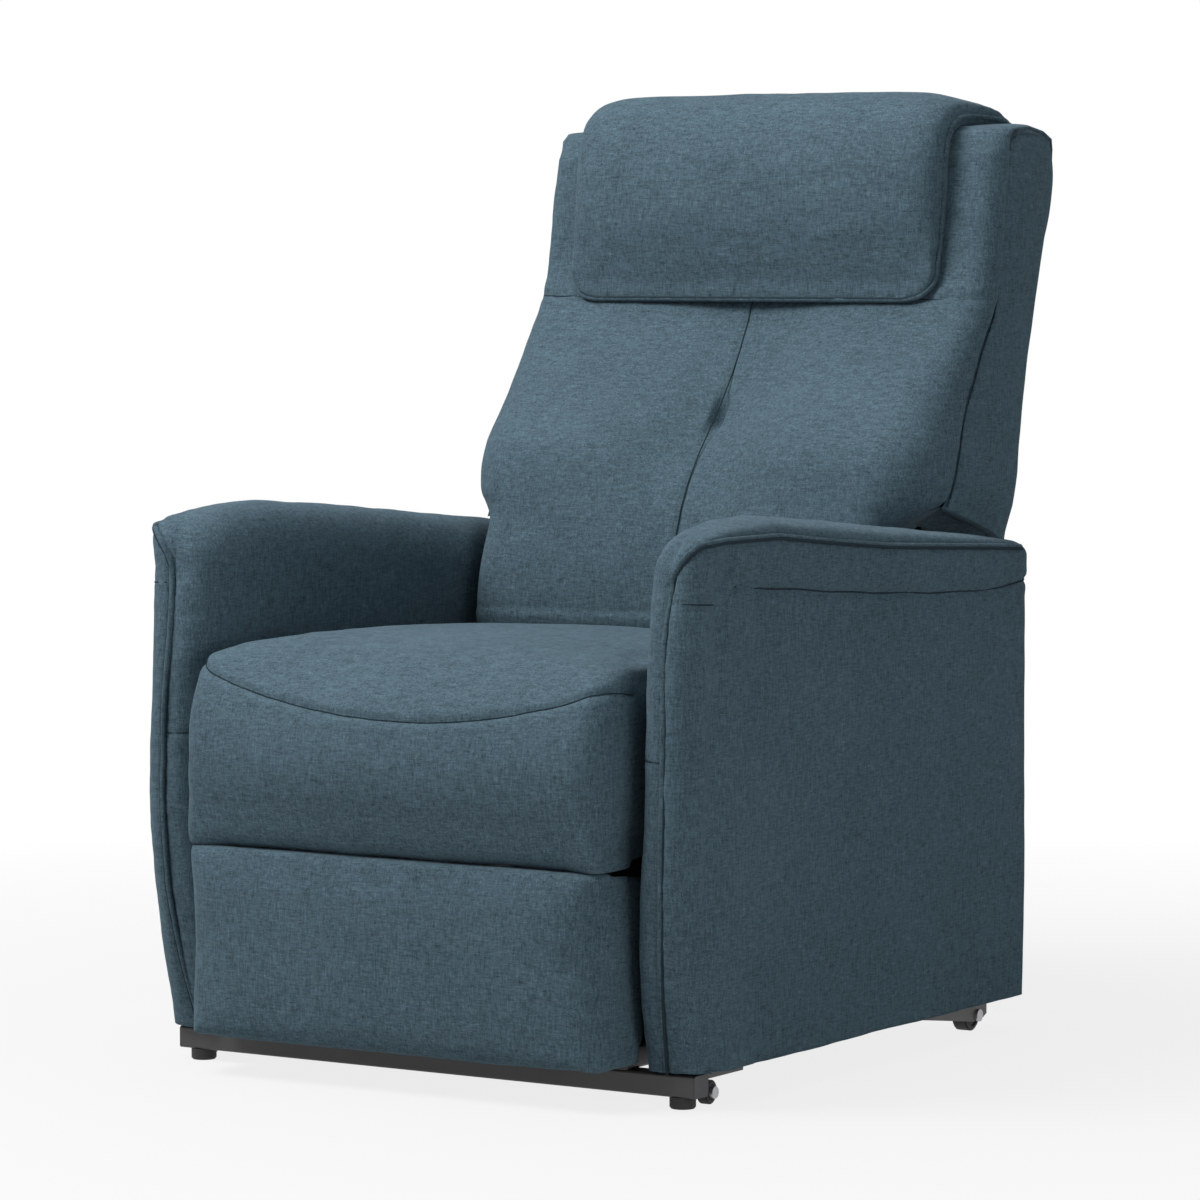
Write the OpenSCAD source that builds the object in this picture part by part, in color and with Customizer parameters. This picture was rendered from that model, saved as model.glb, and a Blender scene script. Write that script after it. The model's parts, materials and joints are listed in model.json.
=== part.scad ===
// Power lift recliner chair, in millimetres.
// The chair faces -Y, its left arm is on +X, and the floor is z = 0. The origin is on the floor, at the
// middle of the chair's overall width and depth. A side view point is written [y, z].

/* [Base] */
// Length of the front rail, end to end
base_w = 672; // [640:4:700]
// Distance from the origin forward to the front rail's face
rail_front = 391; // [386:1:396]
// Depth of the front rail, front to back
rail_d = 28; // [24:1:30]
// Height of every base rail
rail_h = 24; // [20:1:24]
// Wall of every steel tube
tube_wall = 2; // [1.5:0.5:3]
// Height of a front foot under its rail
foot_h = 12.5; // [11:0.5:14]
// Radius of a front foot
foot_r = 14; // [10:1:18]
// Distance from the rail's end to the middle of a foot
foot_inset = 23; // [20:1:40]
// Width of a side rail
side_rail_w = 26; // [20:1:32]
// Distance from the origin back to the rear axle
axle_y = 265; // [255:1:270]
// Radius of a rear wheel
wheel_r = 18.5; // [16:0.5:19]
// Width of a rear wheel
wheel_w = 18; // [14:1:20]
// Distance between the middles of the two rear wheels
wheel_track = 602; // [596:1:608]
// Radius of a front roller
roller_r = 13; // [10:0.5:14]
// Width of a front roller
roller_w = 12; // [8:1:14]
// Clearance between a front roller and the floor
roller_lift = 1.5; // [1:0.5:3]
// Radius of a wheel's axle
axle_r = 4; // [3:0.5:5]

/* [Lift linkage] */
// Thickness of every link and bracket plate
plate_t = 6; // [5:0.5:6]
// Gap between neighbouring plates of the linkage
plate_gap = 2; // [1.5:0.5:2.5]
// Inner face of the innermost lift plate, from the middle of the chair
plate_x = 206; // [200:1:208]
// Half the width of a lift arm
lift_arm_r = 12; // [10:0.5:12]
// Radius of a lift pivot's pin
lift_pin_r = 6; // [5:0.5:6]
// Outer radius of the cross tube between the lower lift arms
cross_tube_r = 14; // [12:0.5:14]

/* [Seat] */
// Distance from the floor to the highest point of the seat cushion
seat_top = 480; // [470:1:500]
// Distance from the origin forward to the nose of the seat cushion
seat_front = 495; // [488:1:500]
// Distance from the origin back to the rear of the seat cushion
seat_rear = 52; // [40:1:56]
// Gap between the seat cushion and each arm
seat_gap = 14; // [12:1:24]
// Height of the deck's underside above the floor
deck_z = 255; // [250:1:258]
// Thickness of the seat deck
deck_t = 12; // [9:1:14]
// Depth of the two seat rails' section
seat_rail_h = 30; // [26:1:34]
// Width of a seat rail's section
seat_rail_w = 26; // [22:1:30]
// Distance from the origin forward to the seat rails' front ends
seat_rail_front = 400; // [396:1:402]
// Fall of the cushion's top from its middle to its sides
seat_crown = 16; // [8:1:24]

/* [Arms] */
// Clear width between the two arms
arm_gap = 564; // [556:2:572]
// Thickness of an arm at its side face
arm_w = 71; // [68:1:76]
// Height of the arms' lower edge above the floor
arm_bottom = 40; // [39.5:0.5:46]
// Distance from the origin back to the arms' rear face
arm_rear = 325; // [320:1:332]
// Distance from the origin forward to the arms' foremost point at the side
arm_front = 445; // [435:1:455]
// Highest point of an arm's top
arm_top = 618; // [600:1:630]
// How far an arm's top roll stands out past its side face
roll_out = 8; // [6:1:12]
// Fall of the seam under the top roll, from front to rear
seam_fall = 44; // [36:1:52]

/* [Back] */
// Highest point of the back cushion
back_top = 1032; // [1010:1:1050]
// Width of the back above the arms
back_w = 616; // [596:2:640]
// Gap between the lower part of the back and each arm
back_gap = 18; // [17:1:32]
// Thickness of the back's rear panel
rear_panel_t = 16; // [12:1:20]
// Thickness of the back's side panels
side_panel_t = 18; // [12:1:22]
// Thickness of the back's cross boards
board_t = 25; // [18:1:28]
// Width of a back upright's section
upright_w = 25; // [20:1:28]

/* [Headrest] */
// Width of the headrest pillow
pillow_w = 494; // [440:2:540]
// Greatest thickness of the headrest pillow
pillow_t = 53; // [36:1:60]

/* [Footrest] */
// Gap between the footrest pad and each arm
pad_gap = 14; // [12:1:24]
// Height of the pad's lower edge above the floor
pad_bottom = 39; // [38:0.5:44]
// Height of the pad's upper edge above the floor
pad_top = 251; // [244:1:252]
// Thickness of the pad at its rim
pad_t = 35; // [28:1:36]
// How far the pad's two side returns reach back
pad_return = 53; // [40:1:53]
// Thickness of the board behind the pad
foot_board_t = 12; // [9:1:15]
// Half the width of a footrest link
link_r = 9; // [7:0.5:9]
// Radius of a footrest pivot's pin
link_pin_r = 4; // [3:0.5:5]

/* [Actuators] */
// Outer radius of the lift actuator's tube
lift_tube_r = 20; // [16:1:22]
// Radius of the lift actuator's rod
lift_rod_r = 9; // [7:0.5:10]
// Outer radius of the recline actuator's tube
recline_tube_r = 17; // [14:1:18]
// Radius of the recline actuator's rod
recline_rod_r = 8; // [6:0.5:9]
// Radius of a motor can
motor_r = 25; // [20:1:27]
// Radius of an actuator's pin
clevis_pin_r = 5; // [4:0.5:5]

/* [Handset] */
// Width of the handset
handset_w = 50; // [44:1:54]
// Height of the handset
handset_h = 140; // [132:1:150]
// Thickness of the handset
handset_t = 19.7; // [18:0.1:19.7]
// Side of a square handset button
button_w = 12; // [10:0.5:13]
// How far a button stands out of the handset
button_out = 2; // [1.6:0.1:2.2]

/* [Hidden] */

$fn = 32;
// Radial running clearance of every pin and axle in its bore
fit = 0.05;
// Gap between soft pieces, or between a soft piece and its seat
soft_gap = 0.3;
STEEL = "#2e2f31";
ZINC = "#8d9094";
RUBBER = "#1c1c1d";
PLASTIC = "#242527";
WOOD = "#c9ab7c";
FABRIC = "#40586a";

// Base: levels and places
rail_z = foot_h;
rail_top = rail_z + rail_h;
rail_back = -rail_front + rail_d;
cap_t = 2;
side_rail_z = rail_top;
side_rail_top = side_rail_z + rail_h;
side_rail_rear = axle_y + 21;
rear_rail_y = axle_y - 50;
roller_x = base_w / 2 - 22;
roller_cheek_t = 4;
roller_at = [rail_back + roller_r + 1.5, roller_r + roller_lift];

// The linkage's plates lie in layers across the chair, counted outwards from the seat rails
function layer(n) = plate_x + n * (plate_t + plate_gap);
side_rail_x = layer(2) + plate_t;

// Lift linkage in side view: lower arm b1 to c1, upper arm b2 to c2
b1 = [-342, 71];
b2 = [-314, 82];
c1 = [33, 54];
c2 = [154, 75];
upper_arm_r = 9;
// The upper arm's end swings free on c2 by this much, which takes up the linkage's closing error
open_pivot_gap = 0.5;
pin_head_r = 9;
pin_head_t = 4;

// Seat: levels and places
deck_top = deck_z + deck_t;
cushion_z = deck_top + soft_gap;
seat_rail_z = deck_z - seat_rail_h;
seat_rail_rear = 150;
crossbar_h = 24;
front_bar_y = -290;
rear_bar_y = 100;

// Footrest linkage in side view: front link s1 to m1, rear link s2 to m2, board hinge p1
s1 = [-372, 240];
s2 = [-312, 240];
m1 = [-369.2, 100];
m2 = [-309.2, 100];
p1 = [-425, 215];

// Actuators in side view: fixed ends h1 and h2, rod ends d1 on the lift lever and d2 on the back's lever
h1 = [rear_rail_y - 15, 62];
d1 = b1 + 80 * [cos(100), sin(100)];
lift_len = norm(d1 - h1);
lift_angle = atan2(d1.y - h1.y, d1.x - h1.x);
back_pivot = [175, 270];
h2 = [-230, 195];
d2 = back_pivot + 70 * [cos(-55), sin(-55)];
recline_len = norm(d2 - h2);
recline_angle = atan2(d2.y - h2.y, d2.x - h2.x);
recline_x = -110;
// Length of each actuator's tube, where its bore starts, and where its rod starts
lift_stroke = [470, 300, 310];
recline_stroke = [345, 140, 200];
// Free play of the two rod ends on their levers' pins
lift_play = 8.2;
recline_play = 4.2;
lever_w = 24;

// Arms, and what fits between them; the side's front edge is [height above arm_bottom, set back]
arm_inner = arm_gap / 2;
seat_w = arm_gap - 2 * seat_gap;
back_low_w = arm_gap - 2 * back_gap;
pad_w = arm_gap - 2 * pad_gap;
arm_outer = arm_inner + arm_w;
arm_split = arm_inner + 40;
arm_front_edge = [
    [0, 49], [45, 32], [90, 19], [150, 8], [230, 1], [299, 0], [395, 5], [460, 11], [540, 30]
];
function arm_front_y(z) = lookup(z - arm_bottom, arm_front_edge) - arm_front;
// Underside of the top roll, a straight seam that falls towards the rear
seam_front = arm_top - 61;
function seam_z(y) = seam_front - seam_fall * (y + arm_front) / (arm_rear + arm_front);
// Crown of the arm's top, as [y, drop below arm_top]
arm_crown = [
    [-434, 22], [-415, 13], [-385, 6], [-340, 1], [-265, 0], [-130, 10], [11, 23], [200, 40], [325, 54]
];

// Back: rows as [height below back_top, half width, y of the middle, of the lobes, of the rim, of the rear]
back_rows = [
    [600, back_low_w / 2 - 10, 112, 92, 122, 171],
    [590, back_low_w / 2, 94, 68, 104, 176],
    [562, back_low_w / 2, 84, 63, 98, 183],
    [512, back_low_w / 2, 98, 75, 112, 195],
    [462, back_low_w / 2, 111, 97, 134, 208],
    [448, back_low_w / 2, 116, 103, 142, 212],
    [438, back_low_w / 2 + 16, 119, 106, 172, 215],
    [428, back_w / 2 - 6, 123, 109, 200, 218],
    [418, back_w / 2, 127, 112, 211, 222],
    [392, back_w / 2 + 7, 142, 116, 218, 231],
    [359, back_w / 2 + 6, 172, 123, 229, 241],
    [329, back_w / 2, 208, 157, 241, 253],
    [302, back_w / 2, 226, 185, 254, 266],
    [272, back_w / 2, 248, 212, 271, 283],
    [234, back_w / 2, 268, 245, 291, 303],
    [194, back_w / 2, 288, 282, 320, 332],
    [162, back_w / 2, 301, 301, 327, 339],
    [121, back_w / 2, 307, 307, 333, 345],
    [76, back_w / 2, 311, 311, 338, 350],
    [36, back_w / 2, 316, 316, 349, 361],
    [12, back_w / 2, 325, 325, 360, 373],
    [0, back_w / 2 - 10, 340, 340, 366, 376]
];
wing_row = 8;
wing_rear_y = 320;
// Outline of the rear, as [height below back_top, y], from the top down
rear_rows = [
    [2, 472], [14, 484], [45, 487.5], [86, 478], [145, 461], [239, 435], [378, 399], [455, 376], [832, 268]
];
rear_top = back_top - rear_rows[0].x;
rear_split = back_top - rear_rows[7].x;
function rear_y(z) = lookup(back_top - z, [for (r = rear_rows) [r.x, r.y]]);
function mid_y(z) =
    lookup(back_top - z, [for (i = [len(back_rows) - 1:-1:0]) [back_rows[i][0], back_rows[i][5]]]);

// Headrest: the face that lies on the back, as [height below back_top, y, thickness share], front to rear
pillow_path = [
    [194, 275, 0.1], [170, 293, 0.5], [137, 303, 0.78], [102, 307.5, 0.96], [57, 312.5, 1],
    [36, 315.5, 0.98], [11, 324.2, 0.95], [-0.5, 338.5, 1], [-0.5, 385, 0.93], [-0.5, 430, 0.72],
    [-0.5, 466, 0.42], [4, 481, 0.25], [12, 488, 0.11], [32, 489, 0.11], [102, 489, 0.11]
];

// Handset: middle of its outer face on the right arm
handset_at = [-165, arm_bottom + 370];
pocket_wall = 2.5;
pocket_h = 90;
handset_x = -(arm_outer + roll_out - pocket_wall - soft_gap - 0.2);
handset_back_x = handset_x + handset_t;
button_depth = 4;
button_gap = 0.3;
button_pitch = [18, 22];

// ---- Shared shapes

// Extrudes a side view, drawn as [y, z], along X from x0
module along_x(x0, len) {
    translate([x0, 0, 0]) rotate([90, 0, 90]) linear_extrude(len) children();
}

// A copy on each side of the chair's middle plane
module both_sides() {
    children();
    mirror([1, 0, 0]) children();
}

// The left or the right piece of a pair
module on_side(side) {
    if (side > 0) children();
    else mirror([1, 0, 0]) children();
}

module disc(p, r) {
    translate(p) circle(r);
}

// A flat link with a round eye at a and at b, and a slightly narrower web between them
module bar(a, b, r) {
    web = 0.86 * r;
    disc(a, r);
    disc(b, r);
    translate(a) rotate(atan2(b.y - a.y, b.x - a.x)) translate([0, -web]) square([norm(b - a), 2 * web]);
}

// A rectangle with rounded corners, from its lowest corner
module round_rect(w, h, r) {
    translate([r, 0]) square([w - 2 * r, h]);
    translate([0, r]) square([w, h - 2 * r]);
    for (x = [r, w - r], y = [r, h - r]) disc([x, y], r);
}

module tube_section(w, h) {
    difference() {
        round_rect(w, h, 3);
        translate([tube_wall, tube_wall]) square([w - 2 * tube_wall, h - 2 * tube_wall]);
    }
}

// A pin along X from x0 to x1 with a head at its outer end
module pin(p, r, x0, x1) {
    along_x(x0, x1 - x0) disc(p, r);
    along_x(x1, pin_head_t) disc(p, pin_head_r);
}

// Faces between m rings of n points, each ring seen anticlockwise from where the rings lead to
function ring_faces(m, n) = [
    for (i = [0:m - 2], j = [0:n - 1])
        let (a = i * n + j, b = i * n + (j + 1) % n)
            each [[a, a + n, b + n], [a, b + n, b]]
];

// A closed skin over rings; first and last are the points that close its two ends
module skin(rings, first, last) {
    n = len(rings[0]);
    m = len(rings);
    caps = [
        for (j = [0:n - 1])
            each [
                [m * n, j, (j + 1) % n],
                [m * n + 1, (m - 1) * n + (j + 1) % n, (m - 1) * n + j]
            ]
    ];
    polyhedron(concat([for (ring = rings) each ring], [first, last]), concat(ring_faces(m, n), caps));
}

// A closed skin over rings that each run out along one line and back along another
module folded_skin(rings) {
    n = len(rings[0]);
    m = len(rings);
    end = (m - 1) * n;
    caps = [
        for (i = [0:n / 2 - 2])
            each [
                [i, i + 1, n - 2 - i], [i, n - 2 - i, n - 1 - i],
                [end + i, end + n - 2 - i, end + i + 1], [end + i, end + n - 1 - i, end + n - 2 - i]
            ]
    ];
    polyhedron([for (ring = rings) each ring], concat(ring_faces(m, n), caps));
}

// ---- Base

module base_front_rail() {
    color(STEEL) along_x(-base_w / 2 + cap_t, base_w - 2 * cap_t)
        translate([-rail_front, rail_z]) tube_section(rail_d, rail_h);
}

module base_rear_rail() {
    clevis_x = lever_w / 2 + plate_gap;
    color(STEEL) {
        along_x(-side_rail_x, 2 * side_rail_x)
            translate([rear_rail_y, side_rail_z]) tube_section(rail_d, rail_h);
        both_sides() along_x(clevis_x, plate_t) difference() {
            union() {
                disc(h1, 2.4 * clevis_pin_r);
                translate([h1.x, side_rail_z]) square([rear_rail_y - h1.x, rail_h]);
            }
            disc(h1, clevis_pin_r + fit);
        }
    }
}

module base_side_rail(side) {
    color(STEEL) on_side(side)
        translate([side_rail_x, side_rail_rear - cap_t, side_rail_z]) rotate([90, 0, 0])
            linear_extrude(side_rail_rear - cap_t + rail_front - cap_t)
                tube_section(side_rail_w, rail_h);
}

module rail_end_caps() {
    color(PLASTIC) both_sides() {
        along_x(base_w / 2 - cap_t, cap_t)
            translate([-rail_front, rail_z]) round_rect(rail_d, rail_h, 3);
        for (y = [side_rail_rear, -rail_front + cap_t])
            translate([side_rail_x, y, side_rail_z]) rotate([90, 0, 0])
                linear_extrude(cap_t) round_rect(side_rail_w, rail_h, 3);
    }
}

module front_foot(side) {
    color(RUBBER) translate([side * (base_w / 2 - foot_inset), -rail_front + rail_d / 2, 0]) {
        cylinder(h = 2, r1 = foot_r - 1.5, r2 = foot_r);
        translate([0, 0, 2]) cylinder(h = foot_h - 2, r = foot_r);
    }
}

module wheel_bracket(side) {
    wheel_x = wheel_track / 2;
    cheek_x = wheel_w / 2 + 1;
    front = axle_y - 142;
    slot_y = axle_y - wheel_r - 3;
    foot_z = axle_r + 8;
    color(STEEL) on_side(side) difference() {
        union() {
            translate([side_rail_x, front, rail_top - plate_t])
                cube([wheel_x + cheek_x + plate_t - side_rail_x, side_rail_rear - front, plate_t]);
            for (x = [wheel_x - cheek_x - plate_t, wheel_x + cheek_x])
                along_x(x, plate_t) polygon([
                    [front, rail_top], [front, rail_top - plate_t],
                    [axle_y - foot_z, wheel_r - 6], [axle_y + foot_z - 4, wheel_r - 6],
                    [side_rail_rear, wheel_r], [side_rail_rear, rail_top]
                ]);
        }
        translate([wheel_x - cheek_x, slot_y, 0]) cube([2 * cheek_x, 60, rail_top + 1]);
        along_x(side_rail_x, wheel_x) disc([axle_y, wheel_r], axle_r + fit);
    }
}

module roller_brackets() {
    cheek_top = rail_top - plate_t;
    color(STEEL) both_sides() difference() {
        union() {
            translate([roller_x, rail_back, cheek_top]) cube([roller_w + 8, 74, plate_t]);
            along_x(roller_x, roller_cheek_t) {
                disc(roller_at, axle_r + 4);
                translate([rail_back, rail_z]) square([roller_r + axle_r + 4, cheek_top - rail_z]);
            }
        }
        along_x(roller_x - 1, roller_cheek_t + 2) disc(roller_at, axle_r + fit);
    }
}

module wheel_axles() {
    wheel_x = wheel_track / 2;
    reach = wheel_w / 2 + 1 + plate_t;
    roller_end = roller_x + roller_cheek_t + roller_w + 2;
    color(ZINC) both_sides() {
        along_x(wheel_x - reach, 2 * reach) disc([axle_y, wheel_r], axle_r);
        along_x(wheel_x + reach, 3) disc([axle_y, wheel_r], axle_r + 3);
        along_x(roller_x, roller_end - roller_x) disc(roller_at, axle_r);
        along_x(roller_end, 4) disc(roller_at, axle_r + 2.5);
    }
}

module lift_bracket(side) {
    color(STEEL) on_side(side) along_x(layer(2), plate_t) difference() {
        union() {
            bar(b1, b2, lift_arm_r + 2);
            translate([b1.x - 2 * lift_arm_r, side_rail_z])
                square([b2.x - b1.x + 4 * lift_arm_r, rail_h]);
            translate([b1.x - lift_arm_r, side_rail_top])
                square([b2.x - b1.x + 2 * lift_arm_r, b1.y - side_rail_top]);
        }
        for (p = [b1, b2]) disc(p, lift_pin_r + fit);
    }
}

module base_pins() {
    clevis_x = lever_w / 2 + plate_gap + plate_t;
    color(ZINC) {
        both_sides() {
            pin(b1, lift_pin_r, layer(1), layer(2) + plate_t);
            pin(b2, lift_pin_r, layer(2), layer(3) + plate_t + soft_gap);
        }
        along_x(-clevis_x, 2 * clevis_x) disc(h1, clevis_pin_r);
        both_sides() along_x(clevis_x, 3) disc(h1, clevis_pin_r + 3);
    }
}

// A wheel on an axle along X: rounded tread, recessed faces and a hub
module wheel(p, x, r, w) {
    color(RUBBER) translate([x - w / 2, p.x, p.y]) rotate([90, 0, 90]) rotate_extrude() {
        bore = axle_r + fit;
        hub = axle_r + 3.5;
        translate([bore, 0]) square([hub - bore, w]);
        translate([hub - 0.5, 2]) square([r - 4 - hub + 0.5, w - 4]);
        translate([r - 5, 0]) square([3, w]);
        translate([r - 2, 1.5]) square([2, w - 3]);
    }
}

module rear_wheel(side) {
    wheel([axle_y, wheel_r], side * wheel_track / 2, wheel_r, wheel_w);
}

module front_roller(side) {
    wheel(roller_at, side * (roller_x + roller_cheek_t + 1 + roller_w / 2), roller_r, roller_w);
}

// ---- Lift linkage

module lower_arm(side) {
    color(STEEL) on_side(side) along_x(layer(1), plate_t) difference() {
        bar(b1, c1, lift_arm_r);
        for (p = [b1, c1]) disc(p, lift_pin_r + fit);
    }
}

module lift_cross_tube() {
    lever_x = lever_w / 2 + plate_gap;
    color(STEEL) difference() {
        union() {
            along_x(-layer(1), 2 * layer(1)) disc(b1, cross_tube_r);
            both_sides() along_x(lever_x, plate_t) bar(b1, d1, 2.4 * clevis_pin_r);
        }
        along_x(-layer(1) - 1, 2 * layer(1) + 2) disc(b1, cross_tube_r - tube_wall);
    }
    color(ZINC) along_x(-lever_x - plate_t, 2 * (lever_x + plate_t)) disc(d1, clevis_pin_r);
}

module upper_arm(side) {
    color(STEEL) on_side(side) along_x(layer(3), plate_t) difference() {
        bar(b2, c2, upper_arm_r);
        disc(b2, lift_pin_r + fit);
        disc(c2, lift_pin_r + open_pivot_gap);
    }
}

// An actuator's fixed half along its own Y from the rear pin: eye, gearbox, motor can and outer tube
module motor_half(tube_r, rod_r, tube_end, bore_start) {
    box_l = 62;
    can_x = tube_r + motor_r + 5;
    difference() {
        union() {
            along_x(-lever_w / 2, lever_w) disc([0, 0], 2.4 * clevis_pin_r);
            translate([-lever_w / 2, 0, -9]) cube([lever_w, 20, 18]);
            translate([-tube_r - 4, 14, -tube_r - 3])
                cube([tube_r + 4 + can_x + motor_r - 6, box_l, 2 * tube_r + 6]);
            translate([0, 14, 0]) rotate([-90, 0, 0]) cylinder(h = tube_end - 14, r = tube_r);
            translate([can_x, 14 + box_l, 0]) rotate([-90, 0, 0]) cylinder(h = 92, r = motor_r);
        }
        along_x(-lever_w / 2 - 1, lever_w + 2) disc([0, 0], clevis_pin_r + fit);
        translate([0, bore_start, 0]) rotate([-90, 0, 0]) cylinder(h = tube_end, r = rod_r + fit);
    }
}

// An actuator's rod along its own Y, with an eye at len that plays round the lever's pin
module rod_half(rod_r, start, len, play) {
    eye_r = clevis_pin_r + play + 4.5;
    difference() {
        union() {
            translate([0, start, 0]) rotate([-90, 0, 0]) cylinder(h = len - start - eye_r + 2, r = rod_r);
            along_x(-lever_w / 2, lever_w) disc([len, 0], eye_r);
        }
        along_x(-lever_w / 2 - 1, lever_w + 2) disc([len, 0], clevis_pin_r + play);
    }
}

module place_lift() {
    translate([0, h1.x, h1.y]) rotate([lift_angle, 0, 0]) children();
}

module lift_motor() {
    color(PLASTIC) place_lift() motor_half(lift_tube_r, lift_rod_r, lift_stroke[0], lift_stroke[1]);
}

module lift_rod() {
    color(ZINC) place_lift() rod_half(lift_rod_r, lift_stroke[2], lift_len, lift_play);
}

// ---- Seat frame

module carriage_plate(side) {
    color(STEEL) on_side(side) along_x(layer(0), plate_t) difference() {
        union() {
            bar(c1, c2, lift_arm_r + 2);
            polygon([
                [c1.x - lift_arm_r, c1.y], [c2.x + lift_arm_r, c2.y],
                [seat_rail_rear, seat_rail_z], [seat_rail_rear - 190, seat_rail_z]
            ]);
        }
        for (p = [c1, c2]) disc(p, lift_pin_r + fit);
    }
}

module seat_rail(side) {
    post_r = lift_arm_r + 3;
    color(STEEL) on_side(side) difference() {
        union() {
            translate([plate_x, seat_rail_rear, seat_rail_z]) rotate([90, 0, 0])
                linear_extrude(seat_rail_rear + seat_rail_front) tube_section(seat_rail_w, seat_rail_h);
            along_x(layer(0), plate_t) {
                disc(back_pivot, post_r);
                translate([seat_rail_rear - 50, seat_rail_z])
                    square([back_pivot.x + post_r - seat_rail_rear + 50, back_pivot.y - seat_rail_z]);
            }
        }
        along_x(layer(0) - 1, plate_t + 2) disc(back_pivot, lift_pin_r + fit);
        for (p = [s1, s2]) along_x(layer(0) - 1, tube_wall + 2) disc(p, link_pin_r + fit);
    }
}

module seat_crossbars() {
    ear_x = lever_w / 2 + plate_gap;
    ear_r = 2.4 * clevis_pin_r;
    bar_back = front_bar_y + rail_h;
    color(STEEL) {
        for (y = [front_bar_y, rear_bar_y])
            along_x(-plate_x, 2 * plate_x)
                translate([y, deck_z - crossbar_h]) tube_section(rail_h, crossbar_h);
        for (x = [recline_x - ear_x - plate_t, recline_x + ear_x])
            along_x(x, plate_t) difference() {
                union() {
                    disc(h2, ear_r);
                    polygon([
                        [bar_back, deck_z - crossbar_h + 3], h2 - 0.8 * [ear_r, ear_r / 2],
                        h2 + 0.8 * [ear_r, ear_r / 2], [bar_back, deck_z - 3]
                    ]);
                }
                disc(h2, clevis_pin_r + fit);
            }
    }
}

module seat_deck() {
    color(WOOD) translate([-plate_x - seat_rail_w, -seat_rail_front, deck_z])
        cube([2 * (plate_x + seat_rail_w), seat_rail_front + seat_rear - 2, deck_t]);
}

module arm_brackets() {
    x = plate_x + seat_rail_w;
    color(STEEL) both_sides() for (y = [front_bar_y + 10, rear_bar_y - 40])
        translate([x, y, seat_rail_z + 3]) cube([arm_inner - x, 50, seat_rail_h - 6]);
}

module chair_pins() {
    ear_x = lever_w / 2 + plate_gap + plate_t;
    color(ZINC) {
        both_sides() {
            pin(c1, lift_pin_r, layer(0), layer(1) + plate_t + soft_gap);
            pin(c2, lift_pin_r, layer(0), layer(3) + plate_t + soft_gap);
            along_x(layer(0) + plate_t, 2 * (plate_t + plate_gap) + plate_gap - soft_gap)
                disc(c2, pin_head_r);
            pin(back_pivot, lift_pin_r, layer(0), layer(1) + upright_w + soft_gap);
            for (p = [s1, s2]) {
                along_x(layer(-1), plate_t + plate_gap + tube_wall) disc(p, link_pin_r);
                along_x(layer(-1) - pin_head_t, pin_head_t - soft_gap) disc(p, link_pin_r + 3);
                along_x(layer(-1) - soft_gap, soft_gap) disc(p, link_pin_r);
            }
        }
        along_x(recline_x - ear_x, 2 * ear_x) disc(h2, clevis_pin_r);
        for (x = [recline_x - ear_x - 3, recline_x + ear_x]) along_x(x, 3) disc(h2, clevis_pin_r + 3);
    }
}

// ---- Seat cushion

// Side view of the cushion, anticlockwise from its lower front
seat_section = [
    [-seat_front + 33, cushion_z - 8], [-seat_front + 47, cushion_z - 12.3],
    [-seat_front + 65, cushion_z - 13.8], [-seat_rail_front - 4, cushion_z - 13.3],
    [-seat_rail_front - 3, cushion_z], [-180, cushion_z],
    [seat_rear, cushion_z], [seat_rear + 1, seat_top - 120], [seat_rear, seat_top - 28],
    [seat_rear - 32, seat_top - 14], [-60, seat_top - 5], [-180, seat_top], [-300, seat_top - 2],
    [-seat_front + 110, seat_top - 15], [-seat_front + 58, seat_top - 34],
    [-seat_front + 26, seat_top - 59], [-seat_front + 7, seat_top - 88], [-seat_front, seat_top - 116],
    [-seat_front + 1, seat_top - 150], [-seat_front + 8, seat_top - 180],
    [-seat_front + 22, seat_top - 204]
];
seat_middle = [-220, cushion_z + 90];
seat_stations = [-1, -0.985, -0.94, -0.82, -0.6, -0.3, 0, 0.3, 0.6, 0.82, 0.94, 0.985, 1];
// How much of its section the cushion keeps at a station: full in the middle, drawn in at the sides
function drawn(u) = 1 - 0.045 * (1 - sqrt(1 - pow(abs(u), 14)));
function seat_ring(u) = [
    for (p = seat_section)
        let (
            q = seat_middle + drawn(u) * (p - seat_middle),
            rise = max(q.y - cushion_z, 0) / (seat_top - cushion_z)
        )
            [u * seat_w / 2, q.x, max(q.y - seat_crown * u * u * rise, min(p.y, cushion_z))]
];

module seat_cushion() {
    color(FABRIC) skin([for (u = seat_stations) seat_ring(u)],
        [-seat_w / 2, seat_middle.x, seat_middle.y], [seat_w / 2, seat_middle.x, seat_middle.y]);
}

// ---- Arms

arm_levels = [for (e = arm_front_edge) if (e[0] + arm_bottom < seam_z(arm_rear)) e[0] + arm_bottom];
arm_corner_r = 30;
arm_rear_r = 25;

// Outer side of an arm seen from above, at height z
function side_ring(z) =
    let (f = arm_front_y(z), r = arm_corner_r, b = arm_rear_r)
        concat(
            [[arm_split + soft_gap, f]],
            [for (a = [-90:18:0]) [arm_outer - r + r * cos(a), f + r + r * sin(a)]],
            [for (a = [0:30:90]) [arm_outer - b + b * cos(a), arm_rear - b + b * sin(a)]],
            [[arm_split + soft_gap, arm_rear]]
        );

// Inner side of an arm seen from above, at height z, with its soft front corner
function inner_ring(z) =
    let (f = arm_front_y(z) + 4, w = 32, d = 60, bulge = 8 * pow(max(z - 380, 0) / 180, 2))
        concat(
            [for (a = [-180:18:-90]) [arm_inner - bulge + w + w * cos(a), f + d + d * sin(a)]],
            [[arm_split - 6, f], [arm_split, f + 4], [arm_split, arm_rear], [arm_inner - bulge, arm_rear]]
        );

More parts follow.
